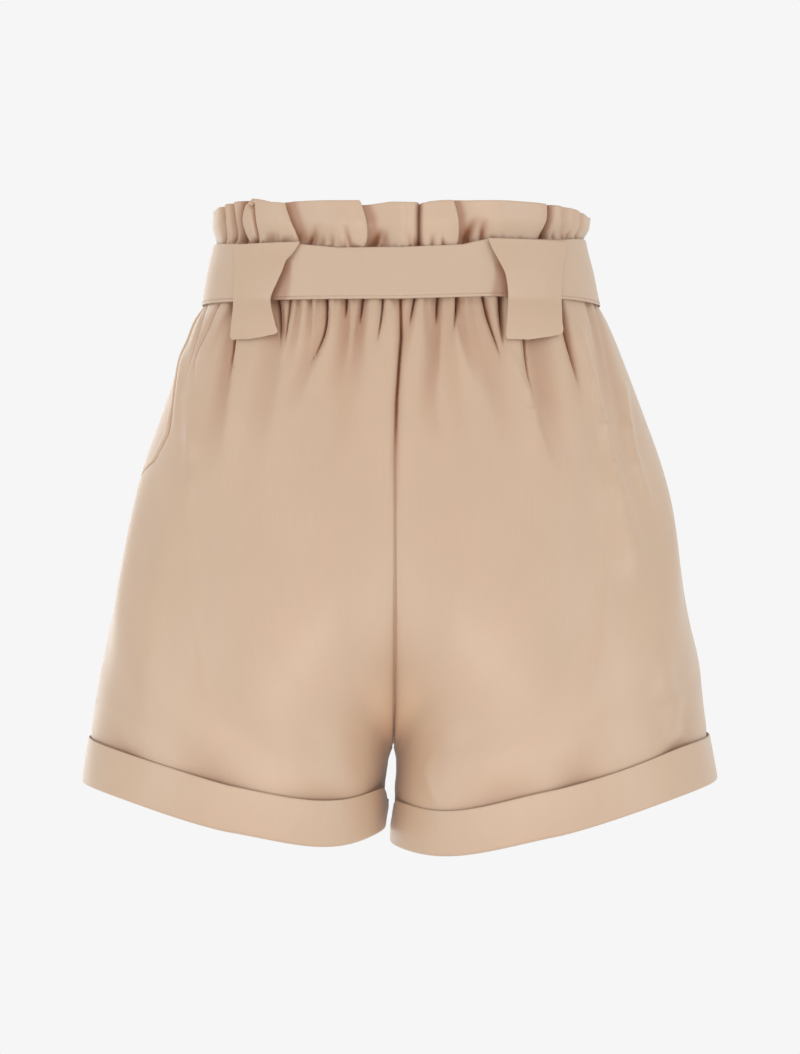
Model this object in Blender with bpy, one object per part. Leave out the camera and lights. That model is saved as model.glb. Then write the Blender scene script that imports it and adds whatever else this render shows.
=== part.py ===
"""Paperbag shorts: high-waisted shorts with a gathered waist, a ruffled top edge, a belt of the same
cloth in two wide loops at the back, and turned-up cuffs. They keep the hollow form that they have when
worn, open at the waist and at both legs.

+Z is up, the front faces -Y and +X is the wearer's left. The origin is the middle of the waist, half way
up the belt. Sizes are in millimetres until add_object() turns them into metres.
"""

import math

import bmesh
import bpy
import numpy as np

METRES = 0.001
LEFT, RIGHT = 1, -1

# Cloth
CLOTH = 1.2
DOUBLED_CLOTH = 1.5
SEAM_GAP = 0.3
BELT_CLEARANCE = 0.4
CUFF_CLEARANCE = 0.6

# Heights, and the slope of the legs: the middle hangs lower than the sides
PANEL_TOP = -12.0
BAND_TOP = 10.0
CROTCH = -305.0
CROTCH_Y = 5.0
CROTCH_CURVE_START = -110.0
DROP_START = -90.0
INSEAM = {LEFT: 50.0, RIGHT: 59.0}
DROP = {LEFT: 29.5, RIGHT: 40.0}
BACK_DIP = {LEFT: 12.0, RIGHT: 10.5}
DIP_INWARD = 0.78
CUFF_HEIGHT = 29.0

# Roundness of the sections: 2 is an ellipse
BODY_POWER = 2.35
LEG_POWER = 2.25

# Half width to each side and depth to the back and front, by height at the side
#  z      left   right   back   front
FORM = np.array([
    (50.0, 114.5, 118.0, 83.0, 82.0),
    (20.0, 119.3, 119.3, 83.5, 82.5),
    (0.0, 123.3, 124.1, 84.5, 83.5),
    (-16.0, 126.3, 127.4, 85.6, 84.6),
    (-20.0, 127.1, 128.5, 86.2, 85.2),
    (-24.0, 129.6, 130.8, 88.8, 87.4),
    (-30.0, 133.2, 134.0, 92.3, 90.3),
    (-42.0, 138.0, 139.3, 97.0, 94.0),
    (-60.0, 144.2, 146.4, 102.3, 97.8),
    (-90.0, 154.2, 157.6, 109.0, 101.5),
    (-120.0, 163.9, 167.8, 114.0, 103.7),
    (-150.0, 171.6, 176.0, 118.0, 104.8),
    (-180.0, 178.4, 181.5, 120.8, 105.2),
    (-210.0, 185.0, 185.7, 122.0, 105.0),
    (-240.0, 190.1, 191.4, 121.0, 104.4),
    (-270.0, 196.2, 195.4, 118.0, 103.0),
    (-300.0, 199.8, 198.6, 113.5, 101.0),
    (-330.0, 204.4, 204.9, 109.0, 99.0),
])

# How far the middle leans to the wearer's left, by height
#  z      x
LEAN = np.array([
    (0.0, 0.0),
    (-45.0, -0.7),
    (-62.0, 0.6),
    (-84.0, 2.1),
    (-120.0, 3.1),
    (-275.0, 3.2),
    (-305.0, 4.4),
    (-330.0, 6.3),
    (-366.0, 8.0),
])

# Half the space between the legs, by height
#  z      x
LEG_GAP = np.array([
    (CROTCH, SEAM_GAP / 2),
    (-312.0, 2.4),
    (-322.0, 3.4),
    (-345.0, 3.3),
    (-366.0, 3.0),
])

# Where the side seams run, by height: 1 is the side, less is towards the back. The left one bows to the
# back along its pocket mouth.
#  z      left   right
SIDE_SEAM = np.array([
    (-12.0, 0.90, 1.05),
    (-54.0, 0.885, 1.05),
    (-83.0, 0.77, 1.04),
    (-104.0, 0.74, 1.03),
    (-122.0, 0.79, 1.02),
    (-135.0, 0.93, 1.01),
    (-160.0, 1.0, 1.0),
    (-366.0, 1.0, 1.0),
])

# Heights of the cross rows, at the middle. Above FINE_ROWS_END they have twice as many columns.
FINE_ROWS_END = -112.0
BODY_ROWS = (
    PANEL_TOP, -19.5, -24.0, -30.0, -40.0, -55.0, -79.0, -111.0,
    -141.0, -175.0, -210.0, -242.0, -268.0, -287.0, -299.5, CROTCH,
)
LEG_ROWS = (0.25, 0.62, 1.0)
COLUMNS = 20
RING_COLUMNS = 80
# How much closer the columns stand for each millimetre of a fold's depth
FOLD_CLOSENESS = 0.25

# Gathers and creases below the belt. x is where one starts, to the wearer's left of the middle, and
# where it fades out, length below the top edge.
#  x top   x low  depth  width  length
BACK_FOLDS = np.array([
    (116.5, 116.0, 2.0, 4.0, 70.0),
    (106.0, 113.5, 5.5, 5.5, 150.0),
    (78.5, 77.0, 2.6, 4.0, 42.0),
    (70.0, 71.0, 3.0, 3.6, 46.0),
    (57.0, 70.0, 3.0, 3.8, 85.0),
    (47.0, 57.0, 4.2, 4.2, 52.0),
    (34.5, 49.5, 3.2, 3.6, 95.0),
    (23.2, 28.5, 3.0, 3.6, 55.0),
    (11.2, 16.5, 2.8, 3.4, 36.0),
    (0.0, 2.0, 3.4, 4.2, 130.0),
    (-9.2, -5.0, 3.2, 3.6, 44.0),
    (-23.5, -28.5, 3.4, 4.2, 120.0),
    (-35.8, -66.5, 4.6, 4.6, 110.0),
    (-53.5, -65.0, 4.6, 4.2, 58.0),
    (-64.5, -66.0, 3.0, 3.2, 26.0),
    (-77.0, -117.0, 3.4, 6.0, 175.0),
    (-102.3, -114.0, 5.8, 4.6, 100.0),
    (-120.0, -131.0, 3.0, 5.4, 125.0),
])
FRONT_FOLDS = np.array([
    (114.0, 124.0, 3.6, 5.0, 110.0),
    (98.0, 110.0, 3.0, 4.2, 62.0),
    (85.0, 97.0, 4.4, 4.6, 120.0),
    (70.0, 74.0, 2.8, 3.8, 48.0),
    (57.0, 66.0, 4.2, 4.6, 95.0),
    (42.0, 45.0, 3.0, 4.0, 55.0),
    (27.0, 33.0, 4.4, 4.4, 125.0),
    (12.0, 12.0, 2.6, 3.6, 40.0),
    (-14.0, -15.0, 3.0, 3.8, 52.0),
    (-30.0, -38.0, 4.6, 4.6, 135.0),
    (-45.0, -49.0, 3.0, 4.0, 46.0),
    (-60.0, -70.0, 4.0, 4.4, 90.0),
    (-74.0, -77.0, 2.6, 3.8, 42.0),
    (-89.0, -104.0, 4.4, 4.8, 130.0),
    (-103.0, -112.0, 3.0, 4.2, 58.0),
    (-116.0, -126.0, 3.4, 5.0, 100.0),
])

# The ruffle above the belt: how high its edge stands, and its folds. side is 1 for the back, -1 for the
# front.
#  side    x      z
FRILL_EDGE = np.array([
    (1, 121.0, 44.5),
    (1, 109.0, 46.5),
    (1, 97.0, 45.0),
    (1, 85.0, 42.0),
    (1, 75.0, 41.6),
    (1, 50.0, 41.5),
    (1, 20.0, 40.0),
    (1, -10.0, 40.5),
    (1, -34.0, 41.8),
    (1, -68.0, 42.2),
    (1, -90.0, 42.5),
    (1, -107.0, 41.3),
    (1, -121.0, 39.5),
    (-1, -108.0, 42.0),
    (-1, -80.0, 40.5),
    (-1, -40.0, 42.5),
    (-1, 0.0, 41.0),
    (-1, 45.0, 42.5),
    (-1, 85.0, 41.0),
    (-1, 110.0, 44.0),
])
#  side  x base  x edge  depth  width
FRILL_FOLDS = np.array([
    (1, 118.0, 119.0, 4.0, 4.0),
    (1, 111.0, 110.0, 4.5, 4.0),
    (1, 103.5, 103.0, 4.0, 3.5),
    (1, 92.5, 95.0, 7.2, 4.4),
    (1, 80.0, 84.0, 2.0, 4.0),
    (1, 64.0, 73.0, 5.6, 4.2),
    (1, 46.0, 47.0, 2.0, 5.0),
    (1, 31.0, 30.0, 2.5, 4.0),
    (1, 14.5, 21.0, 6.5, 3.8),
    (1, 2.0, 2.0, 1.8, 4.0),
    (1, -12.5, -12.0, 7.5, 3.9),
    (1, -26.0, -25.0, 1.8, 4.0),
    (1, -40.5, -35.0, 7.0, 3.8),
    (1, -54.0, -56.0, 3.0, 3.6),
    (1, -72.0, -73.0, 2.0, 5.0),
    (1, -95.0, -94.0, 6.4, 5.2),
    (1, -109.0, -108.0, 3.0, 4.0),
    (1, -118.0, -118.0, 4.0, 4.0),
    (-1, -112.0, -114.0, 5.0, 4.6),
    (-1, -99.0, -98.0, 4.0, 4.0),
    (-1, -82.0, -86.0, 7.0, 4.2),
    (-1, -64.0, -62.0, 3.0, 4.0),
    (-1, -47.0, -50.0, 7.5, 4.0),
    (-1, -27.0, -26.0, 4.0, 4.0),
    (-1, -8.0, -11.0, 6.5, 4.0),
    (-1, 10.0, 11.0, 3.0, 4.0),
    (-1, 26.0, 29.0, 7.5, 4.0),
    (-1, 46.0, 45.0, 4.0, 4.2),
    (-1, 63.0, 67.0, 7.0, 4.0),
    (-1, 83.0, 82.0, 4.5, 4.0),
    (-1, 99.0, 102.0, 7.0, 4.2),
    (-1, 112.0, 111.0, 4.0, 4.4),
])
FRILL_FLARE = 6.0
FRILL_FREE = 0.6
STEEPEST_FOLD = 1.3
FRILL_COLUMNS = 160
FRILL_ROWS = (0.0, 0.32, 0.66, 1.0)

# The belt's edges, level at the bottom, and its top where the ruffle and the loops let it show
#  side    x     top    bottom
BELT_EDGES = np.array([
    (1, 121.0, 19.0, -19.7),
    (1, 104.0, 17.0, -20.0),
    (1, 64.0, 15.0, -20.0),
    (1, 40.0, 12.4, -20.0),
    (1, 0.0, 12.6, -20.0),
    (1, -40.0, 14.4, -18.6),
    (1, -56.0, 18.0, -18.0),
    (1, -104.0, 19.5, -18.6),
    (1, -121.0, 22.5, -20.0),
    (-1, -70.0, 20.0, -20.0),
    (-1, 0.0, 19.0, -20.0),
    (-1, 70.0, 19.0, -20.0),
])

# The two loops at the back: each row gives its height, its edges and how far its underside stands off
# the shorts
#  z     x left  x right  lift
LEFT_LOOP = np.array([
    (14.5, 102.5, 64.5, 2.8),
    (8.0, 102.5, 67.5, 3.0),
    (-2.0, 102.5, 73.0, 3.4),
    (-11.0, 102.5, 76.5, 3.7),
    (-20.0, 103.0, 79.5, 3.6),
    (-26.0, 103.8, 78.8, 2.2),
    (-34.0, 105.0, 77.4, 1.3),
    (-42.0, 106.2, 76.0, 0.8),
    (-45.0, 105.5, 78.0, 0.7),
])
RIGHT_LOOP = np.array([
    (17.5, -54.7, -103.4, 2.8),
    (10.0, -57.5, -102.8, 3.0),
    (2.0, -61.6, -102.0, 3.4),
    (-10.0, -65.6, -101.8, 3.7),
    (-20.0, -66.6, -101.8, 3.6),
    (-26.0, -66.4, -101.8, 2.2),
    (-34.0, -65.9, -101.8, 1.3),
    (-42.0, -65.4, -101.8, 0.8),
    (-46.0, -66.6, -95.0, 0.7),
])

# The belt's knot at the centre front and its two ends
KNOT_SIZE = (36.0, 15.0, 42.0)
KNOT_POWER = 0.62
#  z     x inner  x outer  lift
BELT_END = np.array([
    (-21.4, 1.0, 15.0, 2.6),
    (-26.0, 1.0, 19.0, 1.8),
    (-36.0, 1.4, 25.0, 1.3),
    (-56.0, 3.0, 34.0, 1.2),
    (-86.0, 7.5, 44.0, 1.2),
    (-116.0, 12.0, 50.5, 1.2),
    (-146.0, 16.0, 55.5, 1.2),
    (-174.0, 19.5, 59.5, 1.2),
    (-186.0, 21.0, 52.0, 1.2),
])
SHORTER_END = 0.9

BACK, FRONT = 1, -1
DENSE = np.linspace(0.0, 2.0, 1601)
SHARES = np.linspace(0.0, 1.0, 41)


def smooth_step(x):
    x = np.clip(x, 0.0, 1.0)
    return x * x * (3.0 - 2.0 * x)


def signed_power(x, power):
    return np.sign(x) * np.abs(x) ** power


def read_curve(table, column, at):
    """A smooth curve through one column of a table whose first column rises or falls."""
    if table[0, 0] > table[-1, 0]:
        table = table[::-1]
    places, values = table[:, 0], table[:, column]
    slopes = np.gradient(values, places)
    at = np.clip(at, places[0], places[-1])
    i = np.clip(np.searchsorted(places, at) - 1, 0, len(places) - 2)
    span = places[i + 1] - places[i]
    t = (at - places[i]) / span
    return (
        values[i] * (1 + 2 * t) * (1 - t) ** 2
        + slopes[i] * span * t * (1 - t) ** 2
        + values[i + 1] * (3 - 2 * t) * t**2
        + slopes[i + 1] * span * (t - 1) * t**2
    )


def blended_depth(shares):
    """How deep a row is at its deepest, of 1, where it is part body and part leg."""
    q = DENSE[DENSE <= 1]
    body = np.cos(q * math.pi / 2) ** (2 / BODY_POWER)
    leg = np.abs(np.sin(q * math.pi)) ** (2 / LEG_POWER)
    return np.array([((1 - share) * body + share * leg).max() for share in shares])


DEPTHS = blended_depth(SHARES)


def drop(side, z):
    """How far the side is above the middle in the row whose middle is at height z."""
    return DROP[side] * smooth_step((DROP_START - z) / (DROP_START - CROTCH))


def envelope(side, z, q=DENSE):
    """The smooth form of one half of the shorts at a row: points at q, which is 0 at the centre back or
    the inseam, 1 at the side, and 2 at the centre front or the inseam. z is the row's height there."""
    z_side = z + drop(side, z)
    back = read_curve(FORM, 3, z_side)
    front = read_curve(FORM, 4, z_side)
    middle = np.interp(-z, -LEAN[:, 0], LEAN[:, 1])
    reach = read_curve(FORM, 1 if side == LEFT else 2, z_side) - side * middle
    gap = np.interp(-z, -LEG_GAP[:, 0], LEG_GAP[:, 1])
    curved = np.clip((CROTCH_CURVE_START - z) / (CROTCH_CURVE_START - CROTCH), 0.0, 1.0)
    leg_share = 1.0 - np.sqrt(1.0 - curved**2)
    depth = np.where(q < 1, back, front)

    body_out = gap + (reach - gap) * np.abs(np.sin(q * math.pi / 2)) ** (2 / BODY_POWER)
    body_y = depth * signed_power(np.cos(q * math.pi / 2), 2 / BODY_POWER)
    round_x = signed_power(-np.cos(q * math.pi), 2 / LEG_POWER)
    round_y = signed_power(np.sin(q * math.pi), 2 / LEG_POWER)
    leg_out = (reach + gap) / 2 + (reach - gap) / 2 * round_x
    leg_y = CROTCH_Y + round_y * np.where(q < 1, depth - CROTCH_Y, depth + CROTCH_Y)

    out = (1 - leg_share) * body_out + leg_share * leg_out
    y = (1 - leg_share) * body_y + leg_share * leg_y
    level = leg_share * CROTCH_Y
    y = level + (y - level) / np.interp(leg_share, SHARES, DEPTHS)
    slope = drop(side, z)
    inward = np.clip(q, 0.0, 1.0) ** DIP_INWARD
    dip = BACK_DIP[side] * slope / DROP[side] * np.sin(inward * math.pi) ** 4
    height = z + slope * (out - gap) / (reach - gap) - dip
    return np.stack([middle + side * out, y, height], axis=1)


def level_normals(side, points):
    """Unit vectors out of the cloth, in the plane of the row."""
    along = np.gradient(points[:, :2], axis=0)
    out = side * np.stack([-along[:, 1], along[:, 0], np.zeros(len(points))], axis=1)
    return out / np.linalg.norm(out, axis=1, keepdims=True)


def length_along(points):
    steps = np.linalg.norm(np.diff(points, axis=0), axis=1)
    return np.concatenate([[0.0], np.cumsum(steps)])


def place_of(points, face, x, side):
    """The q on the back or the front of a row where its x is the one given."""
    half = DENSE <= 1 if face == BACK else DENSE >= 1
    out = side * points[half, 0]
    order = np.argsort(out)
    return np.interp(side * x, out[order], DENSE[half][order])


def fold_depth(side, z, points):
    """How far the gathers press the cloth in along one row."""
    along = length_along(points)
    depth = np.zeros(len(points))
    for face, folds in ((BACK, BACK_FOLDS), (FRONT, FRONT_FOLDS)):
        for x_top, x_low, deep, width, length in folds:
            down = (PANEL_TOP - z) / length
            x = x_top + (x_low - x_top) * np.clip(down, 0.0, 1.0)
            if side * x < -2 * width:
                continue
            grow = 0.45 + 0.55 * smooth_step((PANEL_TOP - z) / 15.0)
            fade = 1.0 - smooth_step((down - 0.18) / 0.82)
            centre = np.interp(place_of(points, face, x, side), DENSE, along)
            if side * x < 0:
                centre = side * x if face == BACK else along[-1] - side * x
            spread = width * (1.0 + 0.9 * np.clip(down, 0.0, 1.0))
            depth += deep * grow * fade * np.exp(-(((along - centre) / spread) ** 2))
    return depth


def cloth_row(side, z):
    points = envelope(side, z)
    return points - level_normals(side, points) * fold_depth(side, z, points)[:, None]


def row_and_normals(side, z, make_row=cloth_row):
    """The points of one row and the cloth's outward unit vectors there."""
    step = 0.5
    points = make_row(side, z)
    along = np.gradient(points, axis=0)
    up = make_row(side, z + step) - make_row(side, z - step)
    normals = side * np.cross(up, along)
    return points, normals / np.linalg.norm(normals, axis=1, keepdims=True)


def pick(values, at):
    """The values of a row at the places q given."""
    return np.stack([np.interp(at, DENSE, values[:, i]) for i in range(3)], axis=1)


def evenly_spaced(points, start, end, columns, margin=0.0, closeness=np.ones(len(DENSE))):
    """The q of columns + 1 points between two places on a row, the first and last a margin inside."""
    along = length_along(points)
    steps = np.diff(along) * (closeness[1:] + closeness[:-1]) / 2
    counted = np.concatenate([[0.0], np.cumsum(steps)])
    first = np.interp(start, DENSE, along) + margin
    last = np.interp(end, DENSE, along) - margin
    low, high = np.interp([first, last], along, counted)
    stops = np.interp(np.linspace(low, high, columns + 1), counted, along)
    return np.interp(stops, along, DENSE)


def quad(a, b, c, d):
    return [(a, b, c), (a, c, d)]


def join_rows(upper, lower):
    """Triangles between two rows of point numbers, where the upper one may have twice the columns."""
    faces = []
    if len(upper) == len(lower):
        for i in range(len(upper) - 1):
            faces += quad(upper[i], lower[i], lower[i + 1], upper[i + 1])
        return faces
    for i in range(len(lower) - 1):
        first, middle, last = upper[2 * i : 2 * i + 3]
        faces += [(first, lower[i], middle), (middle, lower[i], lower[i + 1]), (middle, lower[i + 1], last)]
    return faces


def wall_mesh(outer_rows, inner_rows):
    """A closed wall between two sheets of points, each a list of rows from the top down."""
    points = np.concatenate(outer_rows + inner_rows)
    counts = [len(row) for row in outer_rows + inner_rows]
    starts = np.concatenate([[0], np.cumsum(counts)])
    numbers = [list(range(starts[i], starts[i + 1])) for i in range(len(counts))]
    outer, inner = numbers[: len(outer_rows)], numbers[len(outer_rows) :]
    faces = []
    for i in range(len(outer) - 1):
        faces += join_rows(outer[i], outer[i + 1])
        faces += [face[::-1] for face in join_rows(inner[i], inner[i + 1])]
    for i in range(len(outer[0]) - 1):
        faces += quad(outer[0][i], outer[0][i + 1], inner[0][i + 1], inner[0][i])
    for i in range(len(outer[-1]) - 1):
        faces += quad(outer[-1][i + 1], outer[-1][i], inner[-1][i], inner[-1][i + 1])
    for i in range(len(outer) - 1):
        faces += quad(outer[i + 1][0], outer[i][0], inner[i][0], inner[i + 1][0])
        faces += quad(outer[i][-1], outer[i + 1][-1], inner[i + 1][-1], inner[i][-1])
    return points, faces


def ring_mesh(rings):
    """A closed wall that runs all round: each ring is closed, and the last one joins the first."""
    count = len(rings[0])
    points = np.concatenate(rings)
    faces = []
    for i in range(len(rings)):
        here, below = i * count, (i + 1) % len(rings) * count
        for j in range(count):
            k = (j + 1) % count
            faces += quad(here + j, below + j, below + k, here + k)
    return points, faces


def volume_of(points, faces):
    corners = points[np.array(faces)]
    return np.einsum("ij,ij->i", corners[:, 0], np.cross(corners[:, 1], corners[:, 2])).sum() / 6


def add_object(name, points, faces, material, parent):
    if volume_of(points, faces) < 0:
        faces = [face[::-1] for face in faces]
    mesh = bpy.data.meshes.new(name)
    mesh.from_pydata((points * METRES).tolist(), [], [tuple(map(int, face)) for face in faces])
    mesh.materials.append(material)
    mesh.shade_smooth()
    mesh.set_sharp_from_angle(angle=math.radians(50))
    obj = bpy.data.objects.new(name, mesh)
    obj.parent = parent
    bpy.context.scene.collection.objects.link(obj)
    return obj


def cloth_material(name, colour, roughness):
    material = bpy.data.materials.new(name)
    material.use_nodes = True
    shader = material.node_tree.nodes["Principled BSDF"]
    shader.inputs["Base Color"].default_value = (*colour, 1.0)
    shader.inputs["Roughness"].default_value = roughness
    shader.inputs["Metallic"].default_value = 0.0
    return material


def row_heights(side):
    legs = [CROTCH - share * INSEAM[side] for share in LEG_ROWS]
    return list(BODY_ROWS) + legs


def panel(side, face):
    """A front or a back: from the centre seam and the inseam to the side seam, waist to hem."""
    outer_rows, inner_rows = [], []
    for z in row_heights(side):
        points, normals = row_and_normals(side, z)
        seam = np.interp(-z, -SIDE_SEAM[:, 0], SIDE_SEAM[:, 1 if side == LEFT else 2])
        start, end = (0.0, seam) if face == BACK else (seam, 2.0)
        columns = COLUMNS * (2 if z > FINE_ROWS_END else 1)
        closeness = 1.0 + FOLD_CLOSENESS * fold_depth(side, z, envelope(side, z))
        at = evenly_spaced(points, start, end, columns, SEAM_GAP / 2, closeness)
        outer = pick(points, at)
        normal = pick(normals, at)
        middle = 0 if face == BACK else -1
        if z > CROTCH:
            outer[middle, 0] = envelope(side, z)[middle, 0]
            normal[middle, 0] = 0.0
        normal /= np.linalg.norm(normal, axis=1, keepdims=True)
        outer_rows.append(outer)
        inner_rows.append(outer - CLOTH * normal)
    return wall_mesh(outer_rows, inner_rows)


def cuff(side):
    """The turned-up hem of one leg: it stands on the panels and closes under their edge."""
    inner_wall = -CLOTH
    hem = CROTCH - INSEAM[side]
    under, bottom = hem - SEAM_GAP, hem - SEAM_GAP - CLOTH
    top = bottom + CUFF_HEIGHT
    #    height  distance out from the panels
    outline = (
        (top, CUFF_CLEARANCE),
        (top, CUFF_CLEARANCE + CLOTH),
        ((top + bottom) / 2, CUFF_CLEARANCE + 1.5 * CLOTH),
        (bottom, CUFF_CLEARANCE + CLOTH),
        (bottom, inner_wall),
        (under, inner_wall),
        (under, CUFF_CLEARANCE),
    )
    rings = []
    for z, distance in outline:
        points, normals = row_and_normals(side, z, envelope)
        back = evenly_spaced(points, 0.0, 1.0, COLUMNS)
        front = evenly_spaced(points, 1.0, 2.0, COLUMNS)
        at = np.concatenate([back, front[1:-1]])
        rings.append(pick(points, at) + distance * pick(normals, at))
    return ring_mesh(rings)


def all_round(z, columns):
    """Places round the waist, as q on the left half from the back to the front, then on from 2 to 4 on
    the right half back again."""
    left, right = [evenly_spaced(envelope(side, z), 0.0, 2.0, columns // 2) for side in (LEFT, RIGHT)]
    return np.concatenate([left[:-1], 4.0 - right[:0:-1]])


def round_place(face, x):
    """The place round the waist of a point on the back or front, given by its x."""
    side = LEFT if x >= 0 else RIGHT
    q = place_of(envelope(side, 0.0), face, x, side)
    return q if side == LEFT else 4.0 - q


def round_curve(table, column, around):
    """A column of a table whose rows are given by face and x, read all round the waist."""
    positions = np.array([round_place(face, x) for face, x in table[:, :2]])
    order = np.argsort(positions)
    return np.interp(around, positions[order], table[order, column], period=4.0)


def waist_ring(around, heights, distance):
    """Points round the waist at the heights given, moved out from the shorts' form."""
    step = 0.002
    heights = np.broadcast_to(heights, around.shape)
    ring = np.empty((len(around), 3))
    for side in (LEFT, RIGHT):
        own = around < 2.0 if side == LEFT else around >= 2.0
        q = around[own] if side == LEFT else 4.0 - around[own]
        before = envelope(side, heights[own], np.clip(q - step, 0.0, 2.0))
        after = envelope(side, heights[own], np.clip(q + step, 0.0, 2.0))
        along = after - before
        out = side * np.stack([-along[:, 1], along[:, 0], np.zeros(len(q))], axis=1)
        out /= np.linalg.norm(out, axis=1, keepdims=True)
        away = np.broadcast_to(distance, around.shape)[own]
        ring[own] = envelope(side, heights[own], q) + out * away[:, None]
    return ring


def waistband():
    around = all_round(0.0, RING_COLUMNS)
    low, high = PANEL_TOP + SEAM_GAP, BAND_TOP
    levels = ((high, 0.0), (low, 0.0), (low, -DOUBLED_CLOTH), (high, -DOUBLED_CLOTH))
    return ring_mesh([waist_ring(around, z, out) for z, out in levels])


def belt():
    around = all_round(0.0, RING_COLUMNS)
    tops, bottoms = [round_curve(BELT_EDGES, column, around) for column in (2, 3)]
    near, far = BELT_CLEARANCE, BELT_CLEARANCE + DOUBLED_CLOTH
    edges = ((tops, far), (bottoms, far), (bottoms, near), (tops, near))
    return ring_mesh([waist_ring(around, level, out) for level, out in edges])


def frill():
    """The ruffle: broad lobes between sharp folds, which start above the belt's top edge."""
    around = all_round(30.0, 4 * FRILL_COLUMNS)
    edge = round_curve(FRILL_EDGE, 2, around)
    tucked = round_curve(BELT_EDGES, 2, around) + 1.0
    quarter = length_along(envelope(LEFT, 30.0))[-1] / 2
    base_at = [round_place(face, x) for face, x in FRILL_FOLDS[:, [0, 1]]]
    edge_at = [round_place(face, x) for face, x in FRILL_FOLDS[:, [0, 2]]]
    outer, inner = [], []
    rows = [(tucked + share * (edge - tucked), share) for share in FRILL_ROWS]
    for height, share in [(BAND_TOP + SEAM_GAP, 0.0)] + rows:
        free = smooth_step(share / FRILL_FREE)
        folded = np.zeros(len(around))
        for low, high, depth, width in zip(base_at, edge_at, FRILL_FOLDS[:, 3], FRILL_FOLDS[:, 4]):
            away = (around - (low + (high - low) * share) + 2.0) % 4.0 - 2.0
            folded += depth * np.exp(-((away * quarter / (width * (0.75 + 0.5 * share))) ** 2))
        out = FRILL_FLARE * free * (0.55 + 0.45 * share) - folded * (0.12 + 0.88 * free)
        counted = np.cumsum(1.0 + FOLD_CLOSENESS * folded)
        picked = np.searchsorted(counted, np.linspace(0.0, counted[-1], FRILL_COLUMNS, endpoint=False))
        slope = np.gradient(out) / (4 * quarter / len(around))
        through = DOUBLED_CLOTH * np.sqrt(1 + np.minimum(slope**2, STEEPEST_FOLD**2))
        outer.append(waist_ring(around, height, out)[picked])
        inner.append(waist_ring(around, height, out - through)[picked])
    return ring_mesh(outer[::-1] + inner)


def strip(rows, face, columns, thickness):
    """A flat strip that lies on the shorts: each row has a height, two edges and a lift."""
    outer_rows, inner_rows = [], []
    for z, x_first, x_last, lift in rows:
        side = LEFT if x_first + x_last > 0 else RIGHT
        points = envelope(side, z)
        normals = level_normals(side, points)
        at = np.array([place_of(points, face, x, side) for x in np.linspace(x_first, x_last, columns + 1)])
        on, out = pick(points, at), pick(normals, at)
        on[:, 2] = z
        inner_rows.append(on + lift * out)
        outer_rows.append(on + (lift + thickness) * out)
    return wall_mesh(outer_rows, inner_rows)


def belt_end(side):
    rows = BELT_END.copy()
    top = rows[0, 0]
    if side == RIGHT:
        rows[:, 0] = top + (rows[:, 0] - top) * SHORTER_END
    rows[:, 1:3] *= side
    return strip(rows, FRONT, 4, DOUBLED_CLOTH)


def knot():
    """A plain flat knot, rounded like a pillow, in front of the belt."""
    shape = bmesh.new()
    bmesh.ops.create_uvsphere(shape, u_segments=16, v_segments=10, radius=1.0)
    bmesh.ops.triangulate(shape, faces=shape.faces)
    unit = np.array([vertex.co for vertex in shape.verts])
    faces = [tuple(vertex.index for vertex in face.verts) for face in shape.faces]
    shape.free()
    points = signed_power(unit, KNOT_POWER) * np.array(KNOT_SIZE) / 2
    belt_front = envelope(LEFT, -KNOT_SIZE[2] / 3)[-1, 1] - BELT_CLEARANCE - DOUBLED_CLOTH
    points[:, 1] += belt_front - SEAM_GAP - KNOT_SIZE[1] / 2
    return points, faces


def build():
    for obj in list(bpy.data.objects):
        bpy.data.objects.remove(obj)
    shorts = bpy.data.objects.new("shorts", None)
    bpy.context.scene.collection.objects.link(shorts)
    cloth = cloth_material("shorts_cloth", (0.66, 0.47, 0.34), 0.62)
    belt_cloth = cloth_material("belt_cloth", (0.64, 0.45, 0.33), 0.6)

    for side, word in ((LEFT, "left"), (RIGHT, "right")):
        add_object(f"back_{word}", *panel(side, BACK), cloth, shorts)
        add_object(f"front_{word}", *panel(side, FRONT), cloth, shorts)
        add_object(f"cuff_{word}", *cuff(side), cloth, shorts)
        loop = LEFT_LOOP if side == LEFT else RIGHT_LOOP
        add_object(f"loop_{word}", *strip(loop, BACK, 4, DOUBLED_CLOTH), cloth, shorts)
        add_object(f"belt_end_{word}", *belt_end(side), belt_cloth, shorts)
    add_object("waistband", *waistband(), cloth, shorts)
    add_object("frill", *frill(), cloth, shorts)
    add_object("belt", *belt(), belt_cloth, shorts)
    add_object("belt_knot", *knot(), belt_cloth, shorts)


build()
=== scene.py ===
"""Paperbag shorts seen from the back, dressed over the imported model.

Sizes are in millimetres, in the model's own frame, until add_object() turns them into metres: +Z is up, the
front faces -Y and +X is the wearer's left. The shorts' form repeats the part's own tables.
"""

import math

import bpy
import numpy as np
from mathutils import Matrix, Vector


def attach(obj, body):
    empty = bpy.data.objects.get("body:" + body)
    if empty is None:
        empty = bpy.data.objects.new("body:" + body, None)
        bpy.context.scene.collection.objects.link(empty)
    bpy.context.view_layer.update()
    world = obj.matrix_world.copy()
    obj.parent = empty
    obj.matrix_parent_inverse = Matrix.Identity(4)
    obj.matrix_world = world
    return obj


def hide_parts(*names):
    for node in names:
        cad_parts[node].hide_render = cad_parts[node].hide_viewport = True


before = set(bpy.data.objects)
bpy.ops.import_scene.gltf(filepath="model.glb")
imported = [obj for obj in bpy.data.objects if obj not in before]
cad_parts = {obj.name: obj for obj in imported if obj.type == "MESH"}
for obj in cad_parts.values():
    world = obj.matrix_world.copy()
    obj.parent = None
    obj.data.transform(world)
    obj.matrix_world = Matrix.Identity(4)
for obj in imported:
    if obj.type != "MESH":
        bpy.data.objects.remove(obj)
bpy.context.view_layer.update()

METRES = 0.001
LEFT, RIGHT = 1, -1
BACK, FRONT = 1, -1

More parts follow.
